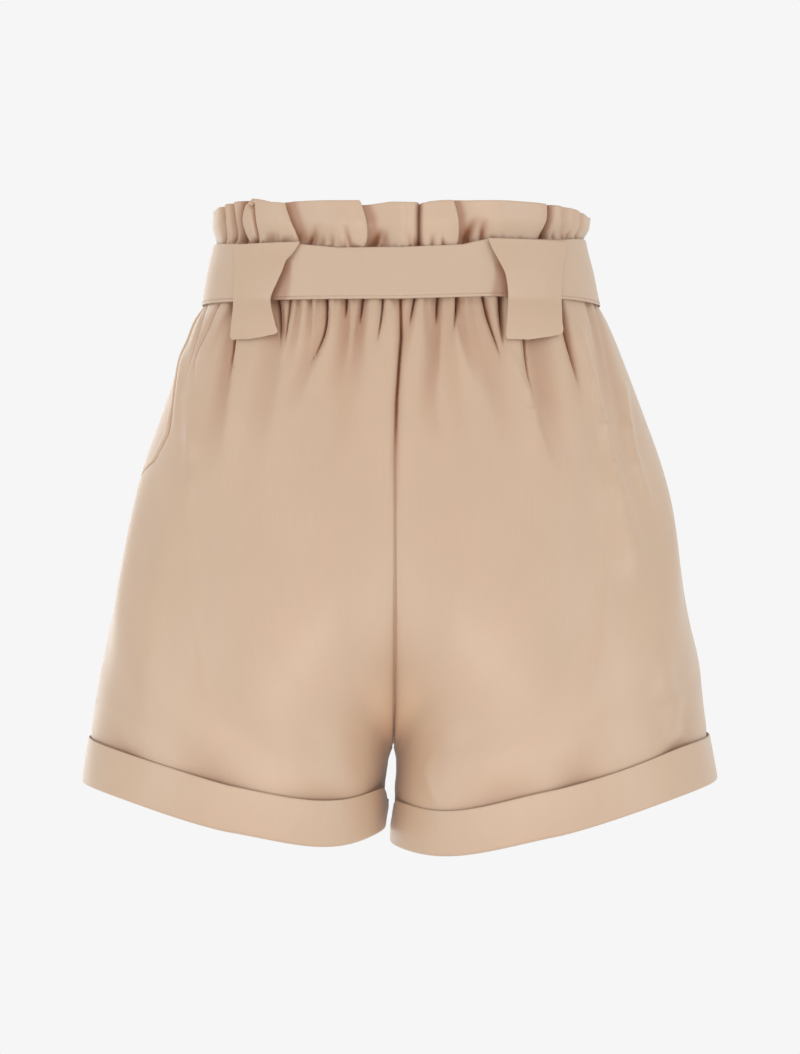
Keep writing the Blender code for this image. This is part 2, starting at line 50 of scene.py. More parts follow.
# ---------------------------------------------------------------- the form, as in the part
CLOTH = 1.2
DOUBLED_CLOTH = 1.5
SEAM_GAP = 0.3
BELT_CLEARANCE = 0.4
CUFF_CLEARANCE = 0.6
PANEL_TOP = -12.0
BAND_TOP = 10.0
CROTCH = -305.0
CROTCH_Y = 5.0
CROTCH_CURVE_START = -110.0
DROP_START = -90.0
INSEAM = {LEFT: 50.0, RIGHT: 59.0}
DROP = {LEFT: 29.5, RIGHT: 40.0}
BACK_DIP = {LEFT: 12.0, RIGHT: 10.5}
DIP_INWARD = 0.78
CUFF_HEIGHT = 29.0
BODY_POWER = 2.35
LEG_POWER = 2.25
# The cloth lies flatter over the inner half of each leg's back
INNER_POWER = 3.3

# Half width to each side and depth to the back and front, by height at the side
#  z      left   right   back   front
FORM = np.array([
    (50, 114.5, 118, 83, 82),
    (20, 119.3, 119.3, 83.5, 82.5),
    (0, 123.3, 124.1, 84.5, 83.5),
    (-16, 126.3, 127.4, 85.6, 84.6),
    (-20, 127.1, 128.5, 86.2, 85.2),
    (-24, 129.6, 130.8, 88.8, 87.4),
    (-30, 133.2, 134, 92.3, 90.3),
    (-42, 138, 139.3, 97, 94),
    (-60, 144.2, 146.4, 102.3, 97.8),
    (-90, 154.2, 157.6, 109, 101.5),
    (-120, 163.9, 167.8, 114, 103.7),
    (-150, 171.6, 176, 118, 104.8),
    (-180, 178.4, 181.5, 120.8, 105.2),
    (-210, 185, 185.7, 122, 105),
    (-240, 190.1, 191.4, 121, 104.4),
    (-270, 196.2, 195.4, 118, 103),
    (-300, 199.8, 198.6, 113.5, 101),
    (-330, 204.4, 204.9, 109, 99),
])
# How far the middle leans to the wearer's left, by height
#  z      x
LEAN = np.array([
    (0, 0), (-45, -0.7), (-62, 0.6), (-84, 2.1), (-120, 3.1), (-275, 3.2), (-305, 4.4), (-330, 6.3),
    (-366, 8),
])
# Half the space between the legs, by height
#  z      x
LEG_GAP = np.array([
    (CROTCH, SEAM_GAP / 2), (-312, 2.4), (-322, 3.4), (-345, 3.3), (-366, 3),
])
# Where the side seams run, by height: 1 is the side, less is towards the back
#  z      left   right
SIDE_SEAM = np.array([
    (-12, 0.9, 1.05), (-54, 0.885, 1.05), (-83, 0.77, 1.04), (-104, 0.74, 1.03), (-122, 0.79, 1.02),
    (-135, 0.93, 1.01), (-160, 1, 1), (-366, 1, 1),
])
# The belt's top where the ruffle and the loops let it show, and its bottom
#  side    x     top    bottom
BELT_EDGES = np.array([
    (1, 121, 19, -19.7),
    (1, 104, 17, -20),
    (1, 64, 15, -20),
    (1, 40, 12.4, -20),
    (1, 0, 12.6, -20),
    (1, -40, 14.4, -18.6),
    (1, -56, 18, -18),
    (1, -104, 19.5, -18.6),
    (1, -121, 22.5, -20),
    (-1, -70, 20, -20),
    (-1, 0, 19, -20),
    (-1, 70, 19, -20),
])

# ---------------------------------------------------------------- gathers and creases
# Gathers below the belt: where each runs, from the panel's top edge to where it fades out, to the wearer's
# left of the middle. slit is the narrow closed part at the top: how deep, how wide and what share of the
# length. band is the soft valley that it opens into, and soft which of its sides slopes gently: 1 left.
#  x top   x 1/3   x 2/3   x end  length  slit deep wide share  band deep wide  soft
BACK_FOLDS = np.array([
    (122, 127.5, 133, 136.5, 60, 1.6, 1.2, 1, 1.6, 2.6, 0.4),
    (112, 122, 131, 129.5, 68, 1.8, 1.1, 0.9, 1.5, 2.2, 0.3),
    (104, 110.5, 118, 123, 50, 1.6, 1.3, 0.4, 2.6, 2.8, -0.4),
    (104, 107.8, 113.6, 119, 124, 4.5, 1.6, 0.49, 4.2, 4.4, 0.6),
    (79.2, 77.5, 76, 75, 44, 3.8, 1.6, 0.95, 2.6, 3.4, 0.2),
    (69, 70.2, 71.6, 73, 42, 4.1, 1.1, 0.95, 1.8, 2.2, -0.4),
    (63.8, 65.2, 68, 70.6, 56, 0.4, 1.4, 0.4, 2.6, 1.7, -0.3),
    (56.2, 56.8, 58.4, 63, 58, 1, 1.2, 0.3, 2.8, 1.7, 0.3),
    (51.6, 52.2, 54, 56, 44, 0, 1.2, 0.3, 1.6, 1.5, 0),
    (74, 80, 88, 96, 150, 0, 1, 0.5, 1.9, 6.4, 0.5),
    (28, 31, 36, 42, 132, 0, 1, 0.5, 1.4, 4.8, -0.4),
    (46.4, 47.6, 60.4, 70.4, 88, 4.8, 1.2, 0.62, 3, 3.2, 0.6),
    (40, 40.6, 41.2, 42, 34, 0.4, 1.2, 0.5, 0.9, 2, 0),
    (33.8, 34.8, 38.4, 43.4, 84, 4.8, 1.3, 0.27, 3.8, 3, 0.4),
    (22.4, 25.2, 27.4, 27.8, 70, 4.5, 1.2, 0.38, 3.2, 2.6, -0.3),
    (10.6, 11.2, 13.4, 16.8, 46, 4.5, 1, 0.84, 1.8, 2, 0.3),
    (5.4, 4.4, 3, 1.6, 18, 0, 1, 0.5, 1.5, 1.5, 0),
    (-10.6, -7.4, -4.4, -2.2, 52, 4.5, 1.1, 0.54, 2.6, 2.4, 0.5),
    (-16.4, -16.6, -17, -17.4, 44, 0, 1, 0.5, 1.8, 1.6, 0),
    (-24.2, -22, -19.6, -26, 112, 4.8, 1.4, 0.24, 4, 3.6, 0.5),
    (-35.8, -35.4, -33.2, -30, 46, 4.7, 1.2, 0.68, 1.4, 1.7, 0.3),
    (-36.4, -38.6, -46.4, -60, 76, 1, 1.4, 0.3, 3.4, 3.2, -0.5),
    (-44, -45.6, -49.4, -54, 58, 0, 1, 0.5, 2.2, 1.8, 0.3),
    (-48, -54, -62, -70, 128, 0, 1, 0.5, 1.7, 5, -0.5),
    (-30, -32, -36, -40, 118, 0, 1, 0.5, 1.3, 4.4, 0.5),
    (-51.2, -55.8, -62, -65.8, 62, 4.6, 1.3, 0.8, 2, 2.2, -0.2),
    (-63.6, -64, -64.6, -66, 46, 6.5, 2.5, 0.9, 2.2, 2.8, 0),
    (-76.6, -78.4, -80.6, -88.4, 86, 2.7, 1.2, 0.95, 2.8, 3.2, -0.6),
    (-84, -88, -93, -104, 150, 0, 1, 0.5, 3, 6, -0.4),
    (-100.8, -106, -112, -116, 86, 6, 2.2, 0.8, 3, 2.6, 0.4),
    (-119, -126, -131, -134, 92, 0.4, 1.4, 0.3, 2.2, 4.6, 0.2),
    (-124, -133, -141, -148, 130, 0, 1, 0.5, 1.8, 4, -0.3),
])
FRONT_FOLDS = np.array([
    (114, 117.3, 120.7, 124, 110, 3.9, 1.4, 0.65, 2.9, 3.3, 0.5),
    (105.5, 107.3, 109.2, 111, 52, 0.4, 1, 0.4, 1.1, 2.3, 0.2),
    (98, 101.2, 105.4, 110, 66, 3.7, 1.1, 0.49, 2, 2.8, 0.1),
    (85, 87.8, 92.4, 98, 124, 4.2, 1.1, 0.41, 3.5, 3.2, -0.4),
    (77.5, 78.7, 79.8, 81, 40, 0.4, 1.4, 0.4, 0.8, 1.9, -0.4),
    (70, 71.3, 72.7, 74, 52, 3, 1.4, 0.36, 2, 2.8, 0.4),
    (57, 59.1, 62.7, 67, 98, 4.3, 1.5, 0.53, 3.2, 2.7, 0.5),
    (49, 49.7, 50.3, 51, 36, 0.4, 1.3, 0.4, 1.4, 2.1, -0.2),
    (42, 43, 44, 45, 58, 3.4, 1.1, 0.34, 2, 2.5, 0.1),
    (34, 35.2, 36.3, 37.5, 44, 0.4, 1, 0.4, 1.2, 1.7, -0.2),
    (27, 28.7, 31.1, 34, 126, 4.7, 1.2, 0.42, 3.1, 3, -0.5),
    (12, 12.2, 12.3, 12.5, 44, 3.6, 1, 0.62, 2.3, 2.1, 0.3),
    (-14, -14.5, -15, -15.5, 56, 3.4, 1.3, 0.27, 2, 2.3, 0.5),
    (-22, -23, -24, -25, 40, 0.4, 1.1, 0.4, 1.3, 2.1, 0.5),
    (-30, -31.9, -35.1, -39, 136, 4.4, 1.2, 0.51, 3.4, 2.6, 0.3),
    (-45, -46.3, -47.7, -49, 50, 3.8, 1.4, 0.28, 2.6, 2.2, -0.2),
    (-52.5, -53.7, -54.8, -56, 36, 0.4, 1.3, 0.4, 1.3, 1.7, 0.5),
    (-60, -62.6, -66.5, -71, 94, 4.3, 1.2, 0.42, 2.7, 2.6, -0.4),
    (-74, -75.2, -76.3, -77.5, 46, 3.4, 1.5, 0.35, 1.7, 2.6, 0),
    (-89, -92.4, -98.1, -105, 132, 4.5, 1.1, 0.55, 3.4, 3, -0.1),
    (-97, -99, -101, -103, 50, 0.4, 1, 0.4, 1.4, 1.7, 0),
    (-103.5, -106.7, -109.8, -113, 62, 3.8, 1.1, 0.62, 2.6, 2.7, 0.3),
    (-116, -119.7, -123.3, -127, 102, 3.4, 1.2, 0.34, 2.7, 3, -0.1),
])
# Creases that run their own way. height is out of the cloth, less than 0 where one is pressed in.
#  face    x1      z1      x2      z2    height  width
CREASES = np.array([
    (1, 134.5, -81, 129.5, -112, 1.6, 5),
    (1, 131.6, -104, 131, -140, 1.5, 3.6),
    (1, 139.5, -52, 142, -92, 1.9, 2.6),
    (1, -114.6, -40, -120.7, -68, 1.9, 2.6),
    (1, -120.7, -68, -128, -96, 2.6, 2.6),
    (1, -128, -96, -134.2, -121, 2.4, 3.4),
    (1, -134.2, -121, -138.5, -146, 1.8, 4.2),
    (1, -142.6, -74, -144.6, -98, 1.9, 2.8),
    (1, -144.6, -98, -149.4, -123, 2.1, 3),
    (1, -149.4, -123, -157, -146, 1.8, 3.4),
    (1, -70.5, -58, -79, -78, 1.6, 3),
    (1, -79, -78, -91, -117, 1.9, 3.4),
    (1, -9.5, -311, -23.5, -334, 1, 2.2),
    (1, -166, -252, -174, -300, 2.6, 6.5),
    (1, -132, -132, -147, -184, 4.2, 10),
    (1, 158, -236, 164, -300, 1.6, 9),
    (1, 150, -170, 158, -220, 1.4, 10),
    (-1, 60, -255, 18, -290, 1.3, 5),
    (-1, -66, -262, -16, -288, 1.4, 5),
    (-1, 84, -270, 30, -300, -1.2, 5),
    (-1, -92, -268, -30, -302, -1.3, 5),
    (-1, 130, -130, 140, -190, 1.3, 7),
    (-1, -128, -120, -142, -180, 1.3, 7),
])
# Where the cloth sinks in just above the cuffs
#  face    x     above  depth  wide   high
DIMPLES = np.array([
    (1, 176, 1, 2.4, 15, 13),
    (1, 118, 1, 2.7, 20, 14),
    (1, 48, 0, 2.2, 22, 11),
    (1, 12, 0, 2, 9, 13),
    (1, -62, 1, 2.4, 24, 13),
    (1, -111, 0, 2.7, 14, 15),
    (1, -176, 1, 3, 12, 20),
    (-1, 160, 1, 2.2, 16, 14),
    (-1, 96, 0, 2.4, 20, 13),
    (-1, 40, 1, 2, 18, 13),
    (-1, -44, 0, 2.2, 20, 14),
    (-1, -104, 1, 2.2, 18, 13),
    (-1, -162, 0, 2.4, 15, 15),
])
# Broad soft waves: how long each is round the shorts and down them, and how deep
#  round  down   start  depth
WAVES = np.array([
    (150, 700, 0.4, 1.2),
    (86, -520, 2.1, 0.9),
    (54, 430, 4.4, 0.45),
])

# The ruffle's edge: how high it stands, by face and x
#  face    x      z
FRILL_EDGE = np.array([
    (1, 121.6, 40.5), (1, 118.7, 41.8), (1, 113, 43.6), (1, 107, 44.9), (1, 102, 43.5), (1, 99.5, 44.4),
    (1, 95.4, 45), (1, 89, 43.6), (1, 82.4, 41.7), (1, 77.7, 40.6), (1, 75, 41.2), (1, 71, 42.2),
    (1, 63, 42.2), (1, 31.4, 41.8), (1, 26.4, 39.8), (1, 23, 39), (1, 18.8, 39.4), (1, 6.3, 40.9),
    (1, -11.3, 40.5), (1, -13.2, 39.4), (1, -18.9, 41), (1, -28.3, 42), (1, -33.3, 42), (1, -36, 42.2),
    (1, -68.7, 42.4), (1, -88, 41.8), (1, -93.5, 40.8), (1, -96, 42.2), (1, -105.7, 41.2),
    (1, -117.4, 38.4), (1, -121.6, 36.2), (-1, -114, 40), (-1, -84, 41.5), (-1, -62, 40.5),
    (-1, -40, 42.5), (-1, -12, 41), (-1, 10, 42), (-1, 45, 42.5), (-1, 68, 40.8), (-1, 92, 42.6),
    (-1, 112, 43.5),
])
# Its folds, by the x of what shows. lap 1: the side towards the wearer's left lies over the other one;
# -1: the other way round; 0: a slit. back is how far a lap runs back under itself, or a slit's lips close.
#  face  x base  x mid  x edge  lap  depth  half   back
FRILL_FOLDS = np.array([
    (1, 117, 116.2, 116.6, 0, 5.2, 4, 0),
    (1, 111.8, 111.4, 112.2, 0, 4.4, 3, 0),
    (1, 106.6, 106.4, 105.6, 0, 9, 6.6, 0.9),
    (1, 97.4, 102.4, 99.4, -1, 4.8, 5, 3.8),
    (1, 93.2, 94.4, 96.6, 0, 6, 2.4, 0.6),
    (1, 65, 70.5, 75.8, 1, 5, 6.4, 4.8),
    (1, 23.4, 21.6, 26.8, 1, 4.2, 6.4, 4.8),
    (1, -12.6, -12.3, -12.6, 0, 9, 4, 1.1),
    (1, -37, -38, -34.2, 1, 6, 5.6, 4.4),
    (1, -90, -94.6, -94.4, 1, 5, 5.6, 4.4),
    (1, -97.4, -99.4, -99.6, 0, 8.5, 4.8, 0.8),
    (1, -109, -109, -108, 0, 1.6, 5, 0),
    (1, -118.5, -118, -117, 0, 1.8, 4, 0),
    (-1, -110, -112, -114, 0, 6, 4.2, 0.8),
    (-1, -82, -84, -86, -1, 4.2, 6.5, 4.8),
    (-1, -60, -62, -63, 0, 8, 3.8, 1),
    (-1, -36, -39, -41, 1, 4.2, 6.5, 4.8),
    (-1, -10, -12, -13, 0, 7, 3.8, 0.9),
    (-1, 14, 12, 9, -1, 4.2, 6, 4.4),
    (-1, 44, 45, 46, 0, 8, 3.8, 1),
    (-1, 66, 69, 71, 1, 4.2, 6.5, 4.8),
    (-1, 90, 92, 93, 0, 6, 3.8, 0.9),
    (-1, 110, 111, 112, -1, 4, 5.5, 4),
])
# Its small gathers just above the belt, where the photo shows them: how deep, wide and high
#  face    x     slant  depth  width  high
FRILL_GATHERS = np.array([
    (1, 61, 0.45, 2, 1.5, 0.55),
    (1, 57.5, 0.35, 1.5, 1.3, 0.4),
    (1, 50.5, 0.05, 1.4, 1.2, 0.34),
    (1, 44, 0, 1.6, 1.4, 0.42),
    (1, 37, -0.1, 1, 1.2, 0.25),
    (1, 31, -0.3, 1.8, 1.3, 0.6),
    (1, 17.5, 0.4, 2.6, 1.8, 0.55),
    (1, 12.5, 0.25, 1.6, 1.3, 0.45),
    (1, 9.5, 0.1, 1.5, 1.2, 0.5),
    (1, 3, 0, 0.9, 1.2, 0.22),
    (1, -7, -0.15, 1.2, 1.2, 0.4),
    (1, -10, -0.1, 1.2, 1.1, 0.34),
    (1, -20.5, 0.1, 1.6, 1.3, 0.36),
    (1, -29, -0.1, 1, 1.3, 0.24),
    (1, -43, 0.35, 3, 2.2, 0.75),
    (1, -48, 0.1, 1, 1.2, 0.2),
    (1, -54.6, 0.05, 2.6, 1.5, 0.68),
    (1, -61, 0, 1, 1.2, 0.22),
    (1, -93.5, -0.1, 2, 1.4, 0.5),
    (1, -104, 0, 1.2, 1.4, 0.3),
    (1, -112, 0.1, 1.8, 1.6, 0.42),
    (1, 84, 0.1, 1.6, 3, 0.4),
    (1, 76, 0.2, 1.2, 2, 0.3),
])
FRILL_FLARE = 6.0
FRILL_FREE = 0.6

# ---------------------------------------------------------------- belt loops, knot and ends
# Each row gives the height, the two edges and how far the middle of each edge and the middle stand off
#  z     x left  x right  lift left  middle  right
LEFT_LOOP = np.array([
    (16.4, 102.5, 61.6, 2.6, 3, 3),
    (13, 102.5, 63.4, 3, 3.2, 3.4),
    (8, 102.5, 66.6, 3.1, 3.6, 4.4),
    (4.4, 102.5, 69.6, 3.2, 3.9, 5.2),
    (-2, 102.5, 71.6, 3.4, 4.4, 6.2),
    (-11, 102.5, 75.6, 3.6, 4.5, 6.2),
    (-18, 102.9, 78.8, 3.6, 4.4, 5.2),
    (-24, 103.4, 79.2, 3, 4, 4),
    (-30, 104.4, 78.2, 2.2, 3, 3.2),
    (-36, 105.4, 77, 1.5, 2.2, 2.4),
    (-41.2, 106.2, 76, 1, 1.6, 1.7),
    (-43.2, 106.2, 83, 0.9, 1.3, 1.4),
    (-45, 105, 93, 0.9, 1.2, 1.3),
])
RIGHT_LOOP = np.array([
    (18.5, -54.4, -103.4, 3.4, 3.2, 2.6),
    (15, -55.3, -103.2, 3.8, 3.4, 3),
    (10, -57.4, -102.8, 4.6, 3.8, 3.1),
    (3, -61, -101.2, 5.6, 4.2, 3.2),
    (-4, -64, -100.4, 6.2, 4.4, 3.4),
    (-12, -65.4, -99.8, 6.2, 4.5, 3.6),
    (-19, -66, -99.6, 5.4, 4.4, 3.8),
    (-26, -66, -99.8, 4.4, 4, 3.6),
    (-33, -65.8, -100.4, 3.4, 3, 2.8),
    (-40.6, -65.4, -101.2, 2.4, 2, 1.8),
    (-43, -65.6, -95, 1.8, 1.7, 1.4),
    (-45.6, -66.6, -80, 1.2, 1.3, 1),
])
LOOPS = {LEFT: LEFT_LOOP, RIGHT: RIGHT_LOOP}
#  z      x inner  x outer  lift inner  middle  outer
BELT_END = np.array([
    (-12, 2, 14, 6, 7, 6),
    (-21.4, 1, 15, 4.4, 6, 4.4),
    (-26, 1, 19, 2.8, 4.6, 3.2),
    (-36, 1.4, 25, 2, 3.4, 2.6),
    (-56, 3, 34, 2, 2.8, 2.6),
    (-86, 7.5, 44, 2.2, 2.4, 3),
    (-116, 12, 50.5, 2.4, 2.3, 3.4),
    (-146, 16, 55.5, 2.6, 2.4, 3.4),
    (-174, 19.5, 59.5, 2.4, 2.6, 3),
    (-186, 21, 52, 2.4, 2.6, 2.8),
])
SHORTER_END = 0.9
KNOT_SIZE = (36.0, 15.0, 42.0)

# ---------------------------------------------------------------- how the shells are made
DENSE = np.linspace(0.0, 2.0, 2001)
SHARES = np.linspace(0.0, 1.0, 41)
THIRDS = np.linspace(0.0, 1.0, 4)
SIDE_COLUMN = {LEFT: 1, RIGHT: 2}
# How thick they are
SHELL = 0.9
FRILL_CLOTH = 0.9
BELT_CLOTH = 1.0
BAND_CLOTH = 1.2
KNOT_CLOTH = 1.4
# How many columns they have
PANEL_COLUMNS = {BACK: 300, FRONT: 210}
FRILL_COLUMNS = 1500
BAND_COLUMNS = 900
BELT_COLUMNS = 700
CUFF_COLUMNS = 420
# The steps between a panel's rows near the belt and low down, how far the first go and the change lasts
TOP_STEP, LOW_STEP = 1.6, 3.8
TOP_REACH, STEP_CHANGE = 60.0, 110.0
# How many rows to each side the bend at the crotch's height is eased over
EASED_ROWS = 9
# How much closer the columns stand for each millimetre of a valley's depth and in a slit
FOLD_CLOSENESS = 0.15
SLIT_CLOSENESS = 2.2
# The range of the painted light and shade, from most painted light to deepest painted shade in a fold, and
# the depth in mm that counts as 1
MOST_PAINTED_LIGHT, MOST_PAINTED_SHADE = -0.35, 1.4
DEEP_FOLD = 7.0
# Half the gap between two panels where their seam is sewn shut in the middle
SEWN_GAP = 0.03
# How far below their sewn top edge the gathers reach their full depth
SEWN_IN = 7.0
# Where the broad waves start, below the panels' top, and the heights over which they grow and end
WAVES_FROM, WAVES_OVER, WAVES_END = 50.0, 90.0, 120.0
# The slit over the centre back seam, and the valley round it: how deep and wide it is, and how far below
# the panels' top it starts to fade and over what height
CENTRE_SLIT = (3.6, 0.55, 74.0, 34.0)
CENTRE_VALLEY = (2.2, 3.0, 95.0, 75.0)
# The heights where the pocket's mouth opens and closes, and over what height
POCKET_OPENS, POCKET_CLOSES = (-16.0, 12.0), (-95.0, 45.0)
# Heights over which painted light grows over the inner half of a leg's back, and painted shade along its
# inseam
PAINTED_LIGHT_FROM, PAINTED_LIGHT_OVER = -246.0, 57.0
PAINTED_SEAM_SHADE_FROM, PAINTED_SEAM_SHADE_OVER = -270.0, 30.0
# How far from the inseam the painted light starts to fade, and over what width
PAINTED_LIGHT_EDGE, PAINTED_LIGHT_WIDE = 8.0, 36.0
# Fine gathers set at random along the ruffle's foot, and the band's ruching: how far apart they are, how far
# each may be moved, how deep they are at least and at most, and how wide
FINE_GATHERS = (5.6, 1.8, (0.5, 1.7), 1.0)
RUCHING = (6.2, 1.6, (0.6, 1.5), 1.7)
FINE_HIGH = (0.1, 0.4)
# How far behind a lap's edge the ruffle comes back out
LAP_RECOVERS = 26.0
# How far the belt's edge stitching runs above its lower edge, and how far it lies off the form
STITCH_UP = 2.0
STITCH_OUT = BELT_CLEARANCE + BELT_CLOTH + 0.3
# How far the cloth swells out just above the cuffs
CUFF_SWELL = 0.5
# How far the cuffs' free edges dip at the inseams, how wide, and how slowly the dip ends
CUFF_DIP = {LEFT: 12.0, RIGHT: 9.5}
DIP_WIDE, DIP_END = 12.0, 45.0


def smooth_step(x):
    x = np.clip(x, 0.0, 1.0)
    return x * x * (3.0 - 2.0 * x)


def smooth_fall(x):
    return 1.0 - smooth_step(x)


def hump(away, width):
    return np.exp(-((away / width) ** 2))


def signed_power(x, power):
    return np.sign(x) * np.abs(x) ** power


def read_curve(table, column, at):
    """A smooth curve through one column of a table whose first column rises or falls."""
    if table[0, 0] > table[-1, 0]:
        table = table[::-1]
    places, values = table[:, 0], table[:, column]
    slopes = np.gradient(values, places)
    at = np.clip(at, places[0], places[-1])
    i = np.clip(np.searchsorted(places, at) - 1, 0, len(places) - 2)
    span = places[i + 1] - places[i]
    t = (at - places[i]) / span
    return (
        values[i] * (1 + 2 * t) * (1 - t) ** 2
        + slopes[i] * span * t * (1 - t) ** 2
        + values[i + 1] * (3 - 2 * t) * t**2
        + slopes[i + 1] * span * (t - 1) * t**2
    )


def read_line(table, column, z):
    """A column of a table by height, with straight lines between its rows."""
    return np.interp(-z, -table[:, 0], table[:, column])


def through_three(first, middle, last, share):
    """A smooth path through three values, at the shares 0, a half and 1."""
    return (
        first * (1 - share) * (1 - 2 * share)
        + middle * 4 * share * (1 - share)
        + last * share * (2 * share - 1)
    )


def blended_depth(shares):
    """How deep a row is at its deepest, of 1, where it is part body and part leg."""
    q = DENSE[DENSE <= 1]
    body = np.cos(q * math.pi / 2) ** (2 / BODY_POWER)
    leg = np.abs(np.sin(q * math.pi)) ** (2 / LEG_POWER)
    return np.array([((1 - share) * body + share * leg).max() for share in shares])


DEPTHS = blended_depth(SHARES)


def drop(side, z):
    """How far the side is above the middle in the row whose middle is at height z."""
    return DROP[side] * smooth_step((DROP_START - z) / (DROP_START - CROTCH))


def envelope(side, z, q=DENSE):
    """The smooth form of one half of the shorts at a row: points at q, which is 0 at the centre back or
    the inseam, 1 at the side, and 2 at the centre front or the inseam. z is the row's height there."""
    z_side = z + drop(side, z)
    back = read_curve(FORM, 3, z_side)
    front = read_curve(FORM, 4, z_side)
    middle = read_line(LEAN, 1, z)
    reach = read_curve(FORM, SIDE_COLUMN[side], z_side) - side * middle
    gap = read_line(LEG_GAP, 1, z)
    curved = np.clip((CROTCH_CURVE_START - z) / (CROTCH_CURVE_START - CROTCH), 0.0, 1.0)
    leg_share = 1.0 - np.sqrt(1.0 - curved**2)
    depth = np.where(q < 1, back, front)

    body_out = gap + (reach - gap) * np.abs(np.sin(q * math.pi / 2)) ** (2 / BODY_POWER)
    body_y = depth * signed_power(np.cos(q * math.pi / 2), 2 / BODY_POWER)
    power = np.where(q < 0.5, INNER_POWER, LEG_POWER)
    round_x = signed_power(-np.cos(q * math.pi), 2 / power)
    round_y = signed_power(np.sin(q * math.pi), 2 / power)
    leg_out = (reach + gap) / 2 + (reach - gap) / 2 * round_x
    leg_y = CROTCH_Y + round_y * np.where(q < 1, depth - CROTCH_Y, depth + CROTCH_Y)

    out = (1 - leg_share) * body_out + leg_share * leg_out
    y = (1 - leg_share) * body_y + leg_share * leg_y
    level = leg_share * CROTCH_Y
    y = level + (y - level) / np.interp(leg_share, SHARES, DEPTHS)
    slope = drop(side, z)
    inward = np.clip(q, 0.0, 1.0) ** DIP_INWARD
    dip = BACK_DIP[side] * slope / DROP[side] * np.sin(inward * math.pi) ** 4
    height = z + slope * (out - gap) / (reach - gap) - dip
    return np.stack([middle + side * out, y, height], axis=1)


def outward_of(along, side):
    """Level unit vectors out of the cloth, from the directions along a row."""
    out = side * np.stack([-along[:, 1], along[:, 0], np.zeros(len(along))], axis=1)
    return out / np.linalg.norm(out, axis=1, keepdims=True)


def level_normals(side, points):
    return outward_of(np.gradient(points, axis=0), side)


def running_sum(steps):
    return np.concatenate([[0.0], np.cumsum(steps)])


def length_along(points):
    return running_sum(np.linalg.norm(np.diff(points, axis=0), axis=1))


def spread(along, closeness, low, high, count, endpoint=True):
    """Lengths along a row from low to high, closer together where closeness is greater."""
    counted = running_sum(np.diff(along) * (closeness[1:] + closeness[:-1]) / 2)
    low, high = np.interp([low, high], along, counted)
    return np.interp(np.linspace(low, high, count, endpoint=endpoint), counted, along)


def place_of(points, face, x, side):
    """The q on the back or the front of a row where its x is the one given."""
    half = DENSE <= 1 if face == BACK else DENSE >= 1
    out = side * points[half, 0]
    order = np.argsort(out)
    return np.interp(side * x, out[order], DENSE[half][order])


def pick(values, at):
    """The values of a row at the places q given."""
    return np.stack([np.interp(at, DENSE, values[:, i]) for i in range(3)], axis=1)


# ---------------------------------------------------------------- the panels' cloth
def fold_path(fold, down):
    """The x of a gather at a share of its length, on a smooth curve through its four places."""
    return read_curve(np.column_stack([THIRDS, fold[:4]]), 1, down)


def pressed_in(side, z, points, along, own):
    """How far the gathers press the cloth in at some places along one row, and how tightly they turn it."""
    depth = np.zeros(len(own))
    turning = np.zeros(len(own))
    below = PANEL_TOP - z
    for face, folds in ((BACK, BACK_FOLDS), (FRONT, FRONT_FOLDS)):
        for fold in folds:
            length, slit, slit_wide, slit_share, band, band_wide, soft = fold[4:]
            down = below / length
            x = fold_path(fold, min(down, 1.0))
            if side * x < -3 * band_wide or down >= 1.0:
                continue
            centre = np.interp(place_of(points, face, x, side), DENSE, along)
            if side * x < 0:
                centre = side * x if face == BACK else along[-1] - side * x
            away = own - centre
            towards = away * side * face
            gentle = np.where(towards * soft > 0, 1.0 + abs(soft), 1.0 - 0.5 * abs(soft))
            wide = band_wide * (0.85 + 0.9 * down) * gentle
            valley = np.exp(-np.abs(away / wide) ** (3.0 - down))
            grown = smooth_step(below / SEWN_IN) * (0.6 + 0.4 * smooth_step(below / 16.0))
            depth += band * grown * smooth_fall((down - 0.3) / 0.7) * valley
            closing = min(down / slit_share, 1.0)
            half = slit_wide / 2 * (1.0 - 0.45 * closing)
            lips = 1.0 / (1.0 + (away / half) ** 4) * smooth_fall((closing - 0.45) / 0.55)
            depth += slit * lips * smooth_step(below / SEWN_IN)
            turning += SLIT_CLOSENESS * min(slit, 2.0) * lips + FOLD_CLOSENESS * band * valley
    return depth, turning


def cuff_levels(side):
    """The heights of the leg's hem and of the cuff's bottom and free edge at the inseam."""
    hem = CROTCH - INSEAM[side]
    bottom = hem - SEAM_GAP - CLOTH
    return hem, bottom, bottom + CUFF_HEIGHT


def on_face(face, y):
    """1 on the back or the front and 0 on the other, with a soft change at the side."""
    return smooth_step((face * y - 5.0) / 20.0)


def creased(side, z, grid_row):
    """How far creases, dimples and the swell above the cuff move the cloth out, along one row of points."""
    x, y, height = grid_row.T
    moved = np.zeros(len(grid_row))
    for face, x1, z1, x2, z2, out, width in CREASES:
        run = np.array([x2 - x1, z2 - z1])
        length = np.linalg.norm(run)
        ahead = ((x - x1) * run[0] + (height - z1) * run[1]) / length**2
        aside = ((x - x1) * run[1] - (height - z1) * run[0]) / length
        taper = smooth_step((ahead + 0.35) / 0.5) * smooth_step((1.35 - ahead) / 0.5)
        moved += out * hump(aside, width) * taper * on_face(face, y)
    above = z - cuff_levels(side)[2]
    moved *= smooth_step(above / 10.0)
    moved += CUFF_SWELL * hump(above - 7.0, 7.0) * smooth_step(above / 3.0)
    for face, x_middle, high, deep, wide, tall in DIMPLES:
        if side * x_middle < 0:
            continue
        moved -= deep * hump(x - x_middle, wide) * hump(above - high, tall) * on_face(face, y)
    return moved


